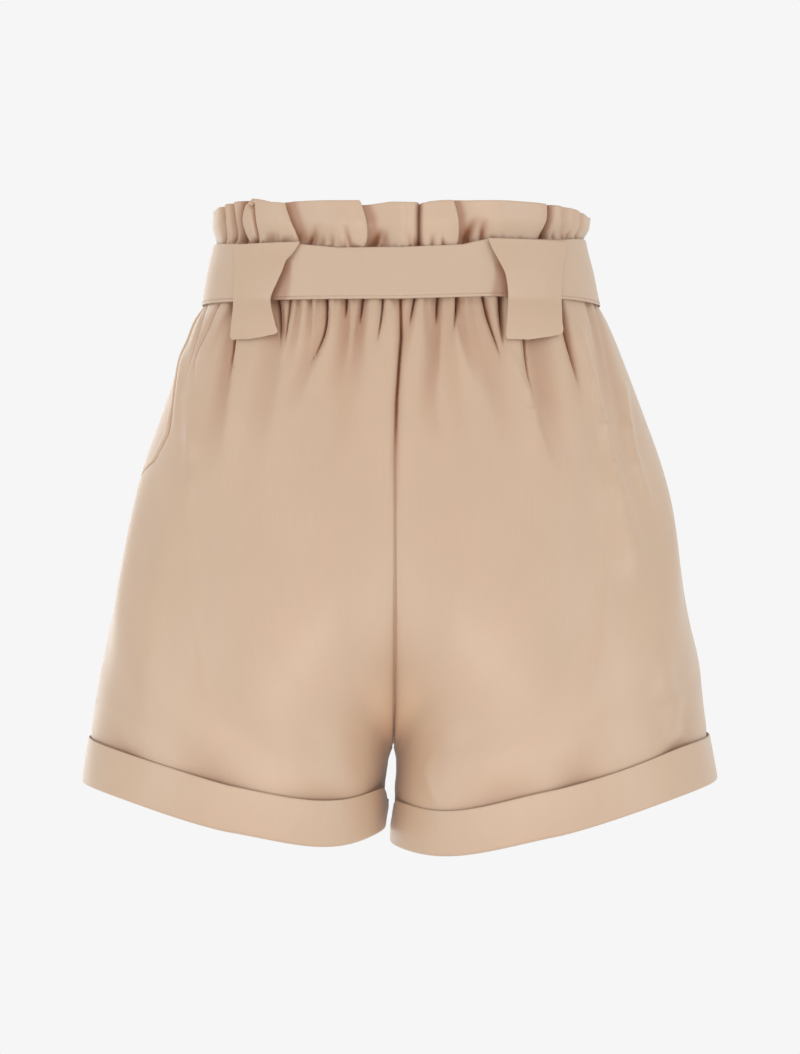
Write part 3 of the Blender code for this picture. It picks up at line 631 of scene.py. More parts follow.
def waved(side, z, along, own):
    """Broad soft waves, none at the waist, at the cuffs and where two panels meet in the middle."""
    share = own / along[-1]
    steady = smooth_step(share / 0.08) * smooth_step((1.0 - share) / 0.08)
    steady *= smooth_step((PANEL_TOP - WAVES_FROM - z) / WAVES_OVER)
    steady *= smooth_step((z - cuff_levels(side)[0] - CUFF_HEIGHT) / WAVES_END)
    waves = np.zeros(len(own))
    for round_length, down_length, start, deep in WAVES:
        turns = side * own / round_length + z / down_length
        waves += deep * np.sin(2 * math.pi * turns + start + side)
    return waves * steady


def seam_dip(away):
    """How far a seam draws the cloth in, by how far away it is."""
    return 0.6 * hump(away, 0.8) + 0.35 * hump(away, 3.5)


def centre_back_slit(z, own):
    """The gathers close over the centre back seam near the belt and let it out below."""
    below = PANEL_TOP - z
    opened = smooth_step(below / SEWN_IN) * (0.6 + 0.4 * hump(below - 45.0, 26.0))
    deep, wide, end, fading = CENTRE_SLIT
    slit = deep * opened / (1.0 + (own / wide) ** 4) * smooth_fall((below - end) / fading)
    deep, wide, end, fading = CENTRE_VALLEY
    return slit + deep * hump(own, wide) * smooth_fall((below - end) / fading)


def pocket_lip(z, away):
    """The visible pocket mouth on the left side seam: a sharp valley with a lip in front of it."""
    opened = smooth_step((POCKET_OPENS[0] - z) / POCKET_OPENS[1])
    opened *= smooth_fall((POCKET_CLOSES[0] - z) / POCKET_CLOSES[1])
    return opened * (2.0 * hump(away, 1.2) - hump(away - 3.6, 1.9))


def painted_inner_light(own):
    """How much painted light lies over the inner half of a leg's back, by how far it is from the inseam."""
    return -MOST_PAINTED_LIGHT * smooth_fall((own - PAINTED_LIGHT_EDGE) / PAINTED_LIGHT_WIDE)


def eased_rows(rows, shares):
    """The rows with the bend at the crotch's height eased, by a share for each point."""
    weights = hump(np.arange(-EASED_ROWS, EASED_ROWS + 1), EASED_ROWS / 2.0)
    weights /= weights.sum()
    padded = np.concatenate([rows[:1]] * EASED_ROWS + [rows] + [rows[-1:]] * EASED_ROWS)
    eased = sum(weight * padded[i : i + len(rows)] for i, weight in enumerate(weights))
    return rows + (eased - rows) * shares[..., None]


def panel_heights(side):
    """Row heights at the middle, closer together near the belt."""
    hem = CROTCH - INSEAM[side]
    heights = [PANEL_TOP]
    while heights[-1] > hem:
        share = smooth_step((PANEL_TOP - heights[-1] - TOP_REACH) / STEP_CHANGE)
        heights.append(heights[-1] - TOP_STEP - (LOW_STEP - TOP_STEP) * share)
    heights[-1] = hem
    return np.array(heights)


def painted_panel_shade(face, z, own, seam, pressed, moved):
    """Painted shade on a panel's row, by how deep it lies in a fold, and along its seam. A back also has
    painted light over a leg's inner half and painted shade at its inseam.
    """
    shade = (pressed + np.clip(-moved, 0.0, 2.0)) / DEEP_FOLD
    if face == BACK:
        shade -= painted_inner_light(own) * smooth_step((PAINTED_LIGHT_FROM - z) / PAINTED_LIGHT_OVER)
        shade += 0.5 * hump(own, 3.0) * smooth_step((PAINTED_SEAM_SHADE_FROM - z) / PAINTED_SEAM_SHADE_OVER)
    return np.clip(shade + 0.5 * hump(own - seam, 0.7), MOST_PAINTED_LIGHT, MOST_PAINTED_SHADE)


def panel_grid(side, face):
    """The outside of a back or front panel, as rows of points from the waist to the hem, and the light and
    shade painted on each point."""
    middle = 0 if face == BACK else -1
    rows, shades, moves, eased = [], [], [], []
    for z in panel_heights(side):
        points = envelope(side, z)
        along = length_along(points)
        seam_at = np.interp(read_line(SIDE_SEAM, SIDE_COLUMN[side], z), DENSE, along)
        first, last = (0.0, seam_at) if face == BACK else (seam_at, along[-1])
        closeness = 1.0 + pressed_in(side, z, points, along, along)[1]
        closeness += 2.0 * hump(along, 2.0) + hump(along - seam_at, 2.5)
        ends = (first + SEAM_GAP / 2, last - SEAM_GAP / 2)
        own = spread(along, closeness, *ends, PANEL_COLUMNS[face] + 1)
        at = np.interp(own, along, DENSE)
        row = pick(points, at)
        moved = creased(side, z, row)
        pressed = pressed_in(side, z, points, along, own)[0]
        if side == LEFT:
            pressed += pocket_lip(z, own - seam_at)
        if face == BACK:
            pressed += centre_back_slit(z, own)
        shades.append(painted_panel_shade(face, z, own, first, pressed, moved))
        inward = own if face == BACK else along[-1] - own
        moved += waved(side, z, along, own) - pressed - seam_dip(own - seam_at) - seam_dip(inward)
        move = pick(level_normals(side, points), at) * moved[:, None]
        if z > CROTCH:
            move[middle, 0] = points[middle, 0] - side * (SEAM_GAP / 2 - SEWN_GAP) - row[middle, 0]
        rows.append(row)
        moves.append(move)
        across = smooth_step((inward - 6.0) / 20.0) * smooth_step((np.abs(own - seam_at) - 4.0) / 25.0)
        eased.append(across * hump(z - CROTCH, 34.0))
    return eased_rows(np.array(rows), np.array(eased)) + np.array(moves), np.array(shades)


# ---------------------------------------------------------------- places round the waist
ROUND = np.linspace(0.0, 4.0, 4001)


def round_points(around, heights):
    """Points on the form all round the waist, at places that run from 0 at the centre back over the left
    side to 2 at the centre front and back on the right, with unit vectors out of it."""
    step = 0.002
    heights = np.broadcast_to(heights, around.shape)
    ring, outward = np.empty((len(around), 3)), np.empty((len(around), 3))
    turned = around % 4.0
    for side in (LEFT, RIGHT):
        own = turned < 2.0 if side == LEFT else turned >= 2.0
        q = turned[own] if side == LEFT else 4.0 - turned[own]
        before = envelope(side, heights[own], np.clip(q - step, 0.0, 2.0))
        after = envelope(side, heights[own], np.clip(q + step, 0.0, 2.0))
        ring[own] = envelope(side, heights[own], q)
        outward[own] = outward_of(after - before, side)
    return ring, outward


def round_place(face, x):
    """The place round the waist of a point on the back or front, given by its x."""
    side = LEFT if x >= 0 else RIGHT
    q = place_of(envelope(side, 0.0), face, x, side)
    return q if side == LEFT else 4.0 - q


WAIST = round_points(ROUND, 30.0)[0]
WAIST_ALONG = length_along(WAIST)
WAIST_LENGTH = WAIST_ALONG[-1]


def arc_place(face, x):
    """The same place as a length round the waist, from the centre back over the left side."""
    return np.interp(round_place(face, x), ROUND, WAIST_ALONG)


def round_curve(table, column, arcs):
    """A column of a table whose rows are given by face and x, read at lengths round the waist."""
    places = np.array([arc_place(face, x) for face, x in table[:, :2]])
    order = np.argsort(places)
    return np.interp(arcs, places[order], table[order, column], period=WAIST_LENGTH)


def around_waist(arcs, heights):
    """Points and unit vectors as from round_points, at lengths round the waist."""
    around = np.interp(arcs % WAIST_LENGTH, WAIST_ALONG, ROUND)
    return round_points(around, heights)


def signed_away(arcs, centre):
    """How far lengths round the waist are from one place, either way."""
    return (arcs - centre + WAIST_LENGTH / 2) % WAIST_LENGTH - WAIST_LENGTH / 2


def scattered(chance, step, shift):
    """Lengths round the waist, one step apart and each moved a little at random."""
    places = np.arange(0.0, WAIST_LENGTH, step)
    return places + chance.uniform(-shift, shift, len(places))


# ---------------------------------------------------------------- the ruffle
def fold_places():
    """Where each fold of the ruffle is at its base, its middle and its edge."""
    return [[arc_place(row[0], row[i]) for i in (1, 2, 3)] for row in FRILL_FOLDS]


def frill_columns():
    """Lengths round the waist, closer together at the folds."""
    arcs = np.linspace(0.0, WAIST_LENGTH, 6001)
    closeness = np.ones(len(arcs))
    for places, row in zip(fold_places(), FRILL_FOLDS):
        low, high = min(places) - row[6], max(places) + row[6]
        away = np.abs(signed_away(arcs, (low + high) / 2)) - (high - low) / 2
        closeness += 3.0 * smooth_fall(away / 4.0)
    return spread(arcs, closeness, 0.0, WAIST_LENGTH, FRILL_COLUMNS, endpoint=False)


def small_gathers(arcs, share):
    """The fine gathers that start at the belt's top edge."""
    chance = np.random.RandomState(7)
    depth = np.zeros(len(arcs))
    for face, x, slant, deep, width, high in FRILL_GATHERS:
        centre = arc_place(face, x) - face * slant * share * 30.0
        grown = smooth_fall((share - 0.25 * high) / (0.75 * high))
        depth += deep * grown * hump(signed_away(arcs, centre), width * (1.0 + share))
    step, shift, deepest, width = FINE_GATHERS
    places = scattered(chance, step, shift)
    tall = chance.uniform(*FINE_HIGH, len(places))
    deep = chance.uniform(*deepest, len(places))
    for centre, high, much in zip(places, tall, deep):
        depth += much * smooth_fall(share / high) * hump(signed_away(arcs, centre), width)
    return depth * smooth_step((share + 0.08) / 0.12)


def fold_moves(row, centre, columns, grown):
    """How far one fold of the ruffle moves a row's cloth aside and in, and its painted shade: a painted
    shadow behind a lap's edge, or painted shade in a slit.
    """
    lap, deep, half, back = row[4:]
    if lap:
        turning = math.acos(min(half / (back * math.pi), 1.0)) / math.pi
        centre += lap * (back * math.sin(math.pi * turning) - half * turning)
    t = signed_away(columns, centre) / half
    inside = np.abs(t) < 1.0
    aside = np.where(inside, back * grown * np.sin(math.pi * t), 0.0)
    if lap:
        pressed = deep * grown * smooth_fall((lap * t + 1.0) / 2.0)
        pressed *= smooth_fall((-lap * t * half - half) / LAP_RECOVERS)
        return np.array([aside, pressed, 0.75 * grown * hump(lap * t + 1.0, 0.5)])
    pressed = np.where(inside, deep * grown * np.cos(math.pi * t / 2) ** 2, 0.0)
    return np.array([aside, pressed, 1.1 * pressed / DEEP_FOLD])


def frill_grid():
    """The ruffle's middle surface: laps that run back under themselves, and slits with closed lips, with
    the shade painted in its folds and gathers.
    """
    columns = frill_columns()
    edge = round_curve(FRILL_EDGE, 2, columns)
    base = round_curve(BELT_EDGES, 2, columns) - 1.5
    seam = signed_away(columns, arc_place(BACK, -3.0))
    shares = np.concatenate([[-0.12], np.linspace(0.0, 0.5, 16), np.linspace(0.54, 0.94, 11), [0.975, 1.0]])
    folds = fold_places()
    rows, shades = [], []
    for share in shares[::-1]:
        held = smooth_step((share + 0.12) / 0.3)
        moves = np.zeros((3, len(columns)))
        for places, row in zip(folds, FRILL_FOLDS):
            centre = through_three(*places, max(share, 0.0))
            moves += fold_moves(row, centre, columns, 0.35 + 0.65 * held)
        aside, pressed, shade = moves
        gathered = small_gathers(columns, share)
        # Painted shade in the folds and the small gathers
        shades.append(np.clip(shade + 3.0 * gathered / DEEP_FOLD, 0.0, 1.2))
        free = smooth_step((share - 0.02) / FRILL_FREE)
        out = FRILL_FLARE * free * (0.55 + 0.45 * share) - 0.8
        out = out - pressed - gathered - 0.7 * hump(seam, 0.8) * held
        points, outward = around_waist(columns - aside, base + share * (edge - base))
        rows.append(points + outward * out[:, None])
    return np.array(rows), np.array(shades)


# ---------------------------------------------------------------- band, belt, loops and cuffs
def waistband_grid():
    """The casing behind the belt, ruched on its elastic."""
    chance = np.random.RandomState(3)
    arcs = np.linspace(0.0, WAIST_LENGTH, BAND_COLUMNS, endpoint=False)
    step, shift, deepest, width = RUCHING
    places = scattered(chance, step, shift)
    deep = chance.uniform(*deepest, len(places))
    ruching = sum(much * hump(signed_away(arcs, centre), width) for centre, much in zip(places, deep))
    rows = []
    for share in np.linspace(0.0, 1.0, 15):
        height = BAND_TOP + 0.4 + share * (PANEL_TOP - BAND_TOP)
        points, outward = around_waist(arcs, height)
        loose = 0.55 + 0.45 * math.sin(math.pi * share)
        rows.append(points - outward * (1.1 + loose * ruching)[:, None])
    return np.array(rows)


def painted_loop_shadow(arcs, height, table, side):
    """The painted shadow on the belt beside a loop's free inner edge, which stands off it."""
    rows = table[::-1]
    edges = rows[:, 2] if side == LEFT else rows[:, 1]
    edge = np.interp(height, rows[:, 0], [arc_place(BACK, x) for x in edges])
    beyond = -side * signed_away(arcs, edge)
    reach = np.clip(0.48 * (6.0 - height), 1.0, 11.0)
    standing = smooth_step((9.0 - height) / 8.0)
    fading = smooth_fall((beyond - 0.75 * reach) / (1.5 + 0.3 * reach))
    return standing * smooth_step((beyond + 9.0) / 4.0) * fading


def belt_grid():
    """The belt, and the shade painted on it: a painted shadow beside the loops, and painted shade in the
    groove along its stitching.
    """
    arcs = np.linspace(0.0, WAIST_LENGTH, BELT_COLUMNS, endpoint=False)
    top = round_curve(BELT_EDGES, 2, arcs)
    bottom = round_curve(BELT_EDGES, 3, arcs)
    knot_away = np.abs(signed_away(arcs, arc_place(FRONT, 0.0)))
    puckered = hump(knot_away - 22.0, 16.0)
    wide = float((top - bottom).mean())
    shares = [0.0, 0.012, 0.035, 0.08, 0.15, 0.25, 0.35, 0.45, 0.55, 0.65, 0.75, 0.83, 0.89, 0.985, 1.0]
    shares += [1.0 - up / wide for up in (3.1, 2.5, 2.2, 2.0, 1.8, 1.5, 1.0)]
    rows, shades = [], []
    for share in sorted(shares):
        height = top + share * (bottom - top)
        groove = hump(height - bottom - STITCH_UP, 0.35)
        # Painted shadow beside the loops, and painted shade in the stitching's groove
        shade = 0.66 * sum(painted_loop_shadow(arcs, height, table, side) for side, table in LOOPS.items())
        shades.append(np.clip(shade + 0.22 * groove, 0.0, 1.0))
        points, outward = around_waist(arcs, height)
        drawn = 0.9 * puckered * (np.cos(2 * math.pi * (2.6 * share + knot_away / 90.0)) + 1.0)
        soft = 0.25 * np.sin(arcs / 31.0 + 1.3) + 0.2 * np.sin(arcs / 12.5 + 4.0 * share)
        crown = 0.25 * math.sin(math.pi * share) * (1.0 + 0.5 * soft)
        out = BELT_CLEARANCE + BELT_CLOTH / 2 + 0.35 + crown + drawn - 0.2 * groove
        rows.append(points + outward * out[:, None])
    return np.array(rows), np.array(shades)


def edge_shares(count):
    """Shares from 0 to 1, closer together at both ends, where an edge is rounded."""
    inner = np.linspace(0.07, 0.93, count)
    return np.concatenate([[0.0, 0.006, 0.018, 0.038], inner, [0.962, 0.982, 0.994, 1.0]])


def strip_grid(table, face, across=22, down=42):
    """A strip that lies on the shorts, from its table's rows."""
    rows = []
    places = np.arange(len(table))
    shares = edge_shares(across)
    for place in edge_shares(down) * (len(table) - 1):
        z, x_first, x_last, *lifts = [
            read_curve(np.column_stack([places, table[:, i]]), 1, place) for i in range(6)
        ]
        side = LEFT if x_first + x_last > 0 else RIGHT
        points = envelope(side, z)
        normals = level_normals(side, points)
        at = np.array([place_of(points, face, x, side) for x in x_first + shares * (x_last - x_first)])
        row, out = pick(points, at), pick(normals, at)
        row[:, 2] = z
        rows.append(row + out * (through_three(*lifts, shares) + BELT_CLOTH / 2)[:, None])
    return np.array(rows)


def cuff_profile(hem, bottom, top):
    """A cuff's heights and distances out of the leg: down inside it, round the fold, up to the free edge."""
    near, far = -CLOTH - 0.5, CUFF_CLEARANCE + 0.5
    turn = (far - near) / 2
    profile = [(hem + 9.0, near), (hem + 5.0, near)]
    for angle in np.linspace(0.0, math.pi, 13):
        height = bottom + 0.5 + turn * (1.0 - math.sin(angle))
        profile.append((height, (near + far) / 2 - turn * math.cos(angle)))
    for share in (0.12, 0.25, 0.4, 0.55, 0.7, 0.82, 0.9, 0.95, 0.98, 1.0):
        bulge = 0.5 * math.sin(math.pi * share)
        profile.append((bottom + 1.5 + share * (top - bottom - 1.5), far + bulge))
    return profile


def cuff_grid(side):
    """A turned-up hem from its free edge to its edge inside the leg, with painted shade at the inseams
    and painted light over the back's inner half.
    """
    hem, bottom, top = cuff_levels(side)
    rows, shades = [], []
    for z, distance in cuff_profile(hem, bottom, top)[::-1]:
        points = envelope(side, z)
        out = level_normals(side, points)
        along = length_along(points)
        own = np.linspace(0.0, along[-1], CUFF_COLUMNS, endpoint=False)
        at = np.interp(own, along, DENSE)
        row, outward = pick(points, at), pick(out, at)
        free = smooth_step((z - hem - 6.0) / 20.0)
        wave = 0.45 * np.sin(own / 23.0 + side) + 0.3 * np.sin(own / 9.5 + 2.0)
        shift = distance + (wave * free * 0.8 if distance > 0 else 0.0)
        row += outward * np.broadcast_to(shift, len(own))[:, None]
        row[:, 2] += 0.35 * free * np.sin(own / 17.0 + 2 * side)
        inward = np.minimum(own, along[-1] - own)
        if distance > 0:
            dip = CUFF_DIP[side] * smooth_step((z - hem) / (top - hem))
            row[:, 2] -= dip * smooth_fall((inward - DIP_WIDE) / DIP_END)
        rows.append(row)
        # Painted shade at the inseams, and painted light over the inner half of the back
        shades.append(0.45 * hump(inward, 3.0) - painted_inner_light(own))
    return np.array(rows), np.array(shades)


def surface_normals(grid, closed):
    """Unit vectors square to a grid of points."""
    if closed:
        wide = np.concatenate([grid[:, -1:], grid, grid[:, :1]], axis=1)
        along = np.gradient(wide, axis=1)[:, 1:-1]
    else:
        along = np.gradient(grid, axis=1)
    down = np.gradient(grid, axis=0)
    normals = np.cross(down, along)
    return normals / np.maximum(np.linalg.norm(normals, axis=2, keepdims=True), 1e-9)


def cloth_lengths(grid):
    """How far each point of a grid is along its row and down its column, in metres."""
    across = np.linalg.norm(np.diff(grid, axis=1), axis=2)
    across = np.concatenate([np.zeros((len(grid), 1)), np.cumsum(across, axis=1)], axis=1)
    downward = np.linalg.norm(np.diff(grid, axis=0), axis=2)
    downward = np.concatenate([np.zeros((1, grid.shape[1])), np.cumsum(downward, axis=0)])
    return across * METRES, downward * METRES


def side_faces(numbers, closed, flipped):
    """The faces between a grid's points, from their numbers."""
    here = numbers if not closed else np.concatenate([numbers, numbers[:, :1]], axis=1)
    corners = [here[:-1, :-1], here[1:, :-1], here[1:, 1:], here[:-1, 1:]]
    faces = np.stack(corners, axis=2).reshape(-1, 4)
    return faces[:, ::-1] if flipped else faces


def border_faces(outer, inner, flipped):
    """The faces that join an edge of the outer side to the same edge of the inner one."""
    faces = np.stack([outer[:-1], outer[1:], inner[1:], inner[:-1]], axis=1)
    return faces[:, ::-1] if flipped else faces


def link_object(name, data):
    """A new object in the scene."""
    made = bpy.data.objects.new(name, data)
    bpy.context.scene.collection.objects.link(made)
    return made


def add_object(name, points, faces, material):
    """A smooth object that rides with the shorts, from points in mm and faces."""
    mesh = bpy.data.meshes.new(name)
    mesh.from_pydata((points * METRES).tolist(), [], faces)
    mesh.materials.append(material)
    mesh.shade_smooth()
    piece = link_object(name, mesh)
    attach(piece, "root")
    return piece


def shell_faces(shape, closed, flipped):
    """The faces of a thin shell: its outer and inner sides, and the borders between them."""
    count = shape[0] * shape[1]
    outer = np.arange(count).reshape(shape)
    inner = outer + count
    faces = [side_faces(outer, closed, flipped), side_faces(inner, closed, not flipped)]
    turn = [*range(shape[1]), 0] if closed else range(shape[1])
    faces.append(border_faces(outer[0, turn], inner[0, turn], not flipped))
    faces.append(border_faces(outer[-1, turn], inner[-1, turn], flipped))
    if not closed:
        faces.append(border_faces(outer[:, 0], inner[:, 0], flipped))
        faces.append(border_faces(outer[:, -1], inner[:, -1], not flipped))
    return np.concatenate(faces)


def thickness_shares(across, downward, thickness, rounded):
    """The share of the thickness that each point has, less towards the rounded edges."""
    from_edge = {
        "top": downward,
        "bottom": downward[-1] - downward,
        "first": across,
        "last": across[:, -1:] - across,
    }
    shares = np.ones(across.shape)
    for edge in rounded:
        inward = np.clip(from_edge[edge] / METRES / (thickness / 2), 0.0, 1.0)
        shares = np.minimum(shares, np.sqrt(np.clip(1.0 - (1.0 - inward) ** 2, 0.02, 1.0)))
    return shares


def add_piece(node, grid, thickness, material, closed=False, surface=0.0, rounded=(), folds=None):
    """A thin closed shell on a grid of points, in a node's place. surface is where the grid lies in the
    thickness, from -1 at the inside to 1 at the outside. rounded names the free edges: top, bottom, first,
    last. folds is the light and shade painted on each point, from the most painted light to the deepest
    painted shade."""
    normals = surface_normals(grid, closed)
    centre = grid.reshape(-1, 3).mean(axis=0)
    flipped = ((grid - centre) * normals).sum() < 0
    if flipped:
        normals = -normals
    across, downward = cloth_lengths(grid)
    shares = thickness_shares(across, downward, thickness, rounded)
    half = normals * (shares * thickness / 2)[..., None]
    middle = grid - normals * (surface * thickness / 2)
    points = np.concatenate([(middle + half).reshape(-1, 3), (middle - half).reshape(-1, 3)])
    faces = shell_faces(grid.shape[:2], closed, flipped)
    piece = add_object(f"{node}_cloth", points, faces.tolist(), material)
    mesh = piece.data
    lengths = np.concatenate([np.stack([across, downward], axis=2).reshape(-1, 2)] * 2)
    corners = np.empty(len(mesh.loops), dtype=np.int32)
    mesh.loops.foreach_get("vertex_index", corners)
    mesh.uv_layers.new(name="cloth").data.foreach_set("uv", lengths[corners].ravel())
    if folds is not None:
        # The light and shade painted on the cloth, which its material reads
        mesh.attributes.new("fold", "FLOAT", "POINT").data.foreach_set("value", np.tile(folds.ravel(), 2))
    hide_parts(node)


def stitches(name, points, outward, material):
    """A row of stitches along points that lie on the cloth, with unit vectors out of it. Each is a bent
    thread whose ends go into the cloth: lifts and widths are by its length."""
    length, spacing, radius, sides = 2.1, 2.9, 0.17, 6
    lifts, widths = (-0.16, 0.02, 0.08, 0.02, -0.16), (0.35, 0.9, 1.0, 0.9, 0.35)
    along = length_along(points)
    faces, vertices = [], []
    for start in np.arange(spacing / 2, along[-1] - spacing, spacing):
        stops = start + np.linspace(0.0, length, 5)
        line = np.stack([np.interp(stops, along, points[:, i]) for i in range(3)], axis=1)
        out = np.array([np.interp(start, along, outward[:, i]) for i in range(3)])
        ahead = line[-1] - line[0]
        ahead /= np.linalg.norm(ahead)
        aside = np.cross(ahead, out)
        first = len(vertices)
        for centre, lift, wide in zip(line, lifts, widths):
            for angle in np.arange(sides) * 2 * math.pi / sides:
                spoke = math.cos(angle) * aside + math.sin(angle) * out
                vertices.append(centre + out * lift + spoke * wide * radius)
        for a in range(first, first + 4 * sides, sides):
            for j in range(sides):
                k = (j + 1) % sides
                faces.append((a + j, a + sides + j, a + sides + k, a + k))
        faces.append(tuple(first + j for j in reversed(range(sides))))
        faces.append(tuple(first + 4 * sides + j for j in range(sides)))
    return add_object(name, np.array(vertices), faces, material)


# ---------------------------------------------------------------- materials
# Painted shade: the cloth's colour is made deeper the deeper it lies in a fold, where the shade falls.
# Less than 0 is painted light over the inner half of the legs' backs.
#  fold    colour it is multiplied by
PAINTED_SHADE_COLOURS = (
    (-0.35, (1.42, 1.46, 1.47)),
    (0.0, (1.0, 1.0, 1.0)),
    (0.6, (0.80, 0.655, 0.60)),
    (1.0, (0.60, 0.36, 0.24)),
    (1.4, (0.36, 0.16, 0.09)),
)


def feed(tree, node, inputs):
    """Sets a node's inputs, by name or number, to values or to other nodes' outputs."""
    for socket, source in inputs.items():
        if isinstance(source, bpy.types.NodeSocket):
            tree.links.new(source, node.inputs[socket])
        else:
            node.inputs[socket].default_value = source


def new_material(name, inputs):
    """A material, its node tree and its shader, with values for the shader's own sockets."""
    material = bpy.data.materials.new(name)
    material.use_nodes = True
    tree = material.node_tree
    shader = tree.nodes["Principled BSDF"]
    feed(tree, shader, inputs)
    return material, tree, shader


def add_node(tree, kind, output, inputs, **settings):
    """One output of a new node with these inputs and settings."""
    node = tree.nodes.new(f"ShaderNode{kind}")
    for setting, value in settings.items():
        setattr(node, setting, value)
    feed(tree, node, inputs)
    return node.outputs[output]


def add_math(tree, operation, *sources):
    return add_node(tree, "Math", 0, dict(enumerate(sources)), operation=operation)


def add_ramp(tree, factor, stops):
    """The colour at a factor on a ramp, whose stops are given by place and colour."""
    node = tree.nodes.new("ShaderNodeValToRGB")
    feed(tree, node, {"Fac": factor})
    elements = node.color_ramp.elements
    elements.remove(elements[1])
    for i, (place, colour) in enumerate(stops):
        stop = elements[0] if i == 0 else elements.new(place)
        stop.position = place
        stop.color = (*colour, 1.0)
    return node.outputs["Color"]


def toned(colour, much):
    """A colour made lighter or darker."""
    return [min(channel * much, 1.0) for channel in colour]


def mapped(tree, lengths, how, value):
    """Lengths along the cloth, scaled or turned."""
    return add_node(tree, "Mapping", "Vector", {"Vector": lengths, how: value})


def noise(tree, vector, scale, detail):
    return add_node(tree, "TexNoise", "Fac", {"Vector": vector, "Scale": scale, "Detail": detail})


def cloth_colour(tree, lengths, colour):
    """A colour with long faint slubs and soft clouds, with painted shade in the folds and painted light
    inside the legs.
    """
    slubs = noise(tree, mapped(tree, lengths, "Scale", (1.0, 0.05, 1.0)), 900.0, 2.0)
    clouds = noise(tree, mapped(tree, lengths, "Scale", (1.0, 0.6, 1.0)), 22.0, 3.0)
    uneven = add_math(tree, "MULTIPLY_ADD", slubs, 0.5, clouds)
    flat = add_ramp(tree, uneven, ((0.45, toned(colour, 0.965)), (1.0, toned(colour, 1.035))))
    # The light and shade painted on the cloth, read from its fold attribute
    fold = add_node(tree, "Attribute", "Fac", {}, attribute_name="fold")
    place = add_node(tree, "MapRange", "Result", {"Value": fold, "From Min": MOST_PAINTED_LIGHT, "From Max": MOST_PAINTED_SHADE})
    stops = [((depth - MOST_PAINTED_LIGHT) / (MOST_PAINTED_SHADE - MOST_PAINTED_LIGHT), tint) for depth, tint in PAINTED_SHADE_COLOURS]
    inputs = {"Factor": 1.0, 6: flat, 7: add_ramp(tree, place, stops)}
    return add_node(tree, "Mix", 2, inputs, data_type="RGBA", blend_type="MULTIPLY")


def woven_bump(tree, lengths):
    """The relief of a close crepe weave: threads both ways and a fine grain."""
    threads = []
    for turn in (0.0, math.pi / 2):
        inputs = {"Scale": 560.0, "Distortion": 1.2, "Detail": 1.0, "Detail Scale": 2.0}
        inputs["Vector"] = mapped(tree, lengths, "Rotation", (0.0, 0.0, turn))
        threads.append(add_node(tree, "TexWave", "Fac", inputs, bands_direction="X"))
    weave = add_math(tree, "MULTIPLY", *threads)
    crepe = add_math(tree, "ADD", weave, noise(tree, lengths, 1500.0, 2.0))
    return add_node(tree, "Bump", "Normal", {"Height": crepe, "Strength": 0.22, "Distance": 0.0001})


def cloth_material(name, colour, roughness, sheen):
    """Fine crepe with a soft pale sheen."""
    material, tree, shader = new_material(name, {
        "Roughness": roughness,
        "Specular IOR Level": 0.9,
        "Sheen Weight": sheen,
        "Sheen Roughness": 0.35,
        "Sheen Tint": (0.95, 0.93, 0.88, 1.0),
    })
    lengths = add_node(tree, "UVMap", "UV", {}, uv_map="cloth")
    coloured, relief = cloth_colour(tree, lengths, colour), woven_bump(tree, lengths)
    feed(tree, shader, {"Base Color": coloured, "Normal": relief})
    return material


def thread_material(name, colour, roughness):
    """Sewing thread, with a fine uneven grain."""
    material, tree, shader = new_material(name, {"Roughness": roughness})
    grain = add_node(tree, "TexNoise", "Fac", {"Scale": 2500.0})
    stops = ((0.0, toned(colour, 0.9)), (1.0, toned(colour, 1.08)))
    feed(tree, shader, {"Base Color": add_ramp(tree, grain, stops)})
    return material


SHORTS = cloth_material("shorts_crepe", (0.605, 0.420, 0.292), 0.42, 0.5)
BELT = cloth_material("belt_crepe", (0.602, 0.428, 0.306), 0.45, 0.4)
THREAD = thread_material("thread", (0.56, 0.40, 0.29), 0.6)


# ---------------------------------------------------------------- the pieces
def mirrored_end(side):
    """The table of one belt end: the right one is the left one's mirror image, and shorter."""
    rows = BELT_END.copy()
    top = rows[0, 0]
    if side == RIGHT:
        rows[:, 0] = top + (rows[:, 0] - top) * SHORTER_END
    rows[:, 1:3] *= side
    return rows


def knot_grid():
    """The knot: a band of belt cloth wrapped round, with soft pleats across it."""
    low = envelope(LEFT, -KNOT_SIZE[2] / 3)[-1, 1] - BELT_CLEARANCE - DOUBLED_CLOTH
    centre_y = low - SEAM_GAP - KNOT_SIZE[1] / 2
    angle = np.linspace(0.0, 2 * math.pi, 96, endpoint=False)
    y = -signed_power(np.sin(angle), 0.8)
    z = signed_power(np.cos(angle), 0.75)
    rows = []
    for share in np.linspace(0.0, 1.0, 40):
        across = 2 * share - 1
        narrow = max((1.0 - abs(across) ** 2.6) ** (1 / 2.6), 0.05)
        pleat = 1.0 + 0.05 * np.cos(9.0 * across + 2.2 * z) * (y < 0.3)
        waist = 1.0 - 0.1 * math.cos(math.pi * across / 2)
        rows.append(np.stack([
            across * KNOT_SIZE[0] / 2 * (1.0 + 0.03 * z),
            centre_y + y * pleat * narrow * KNOT_SIZE[1] / 2 * 0.95,
            z * narrow**0.5 * waist * pleat * KNOT_SIZE[2] / 2 * 0.95,
        ], axis=1))
    return np.array(rows)


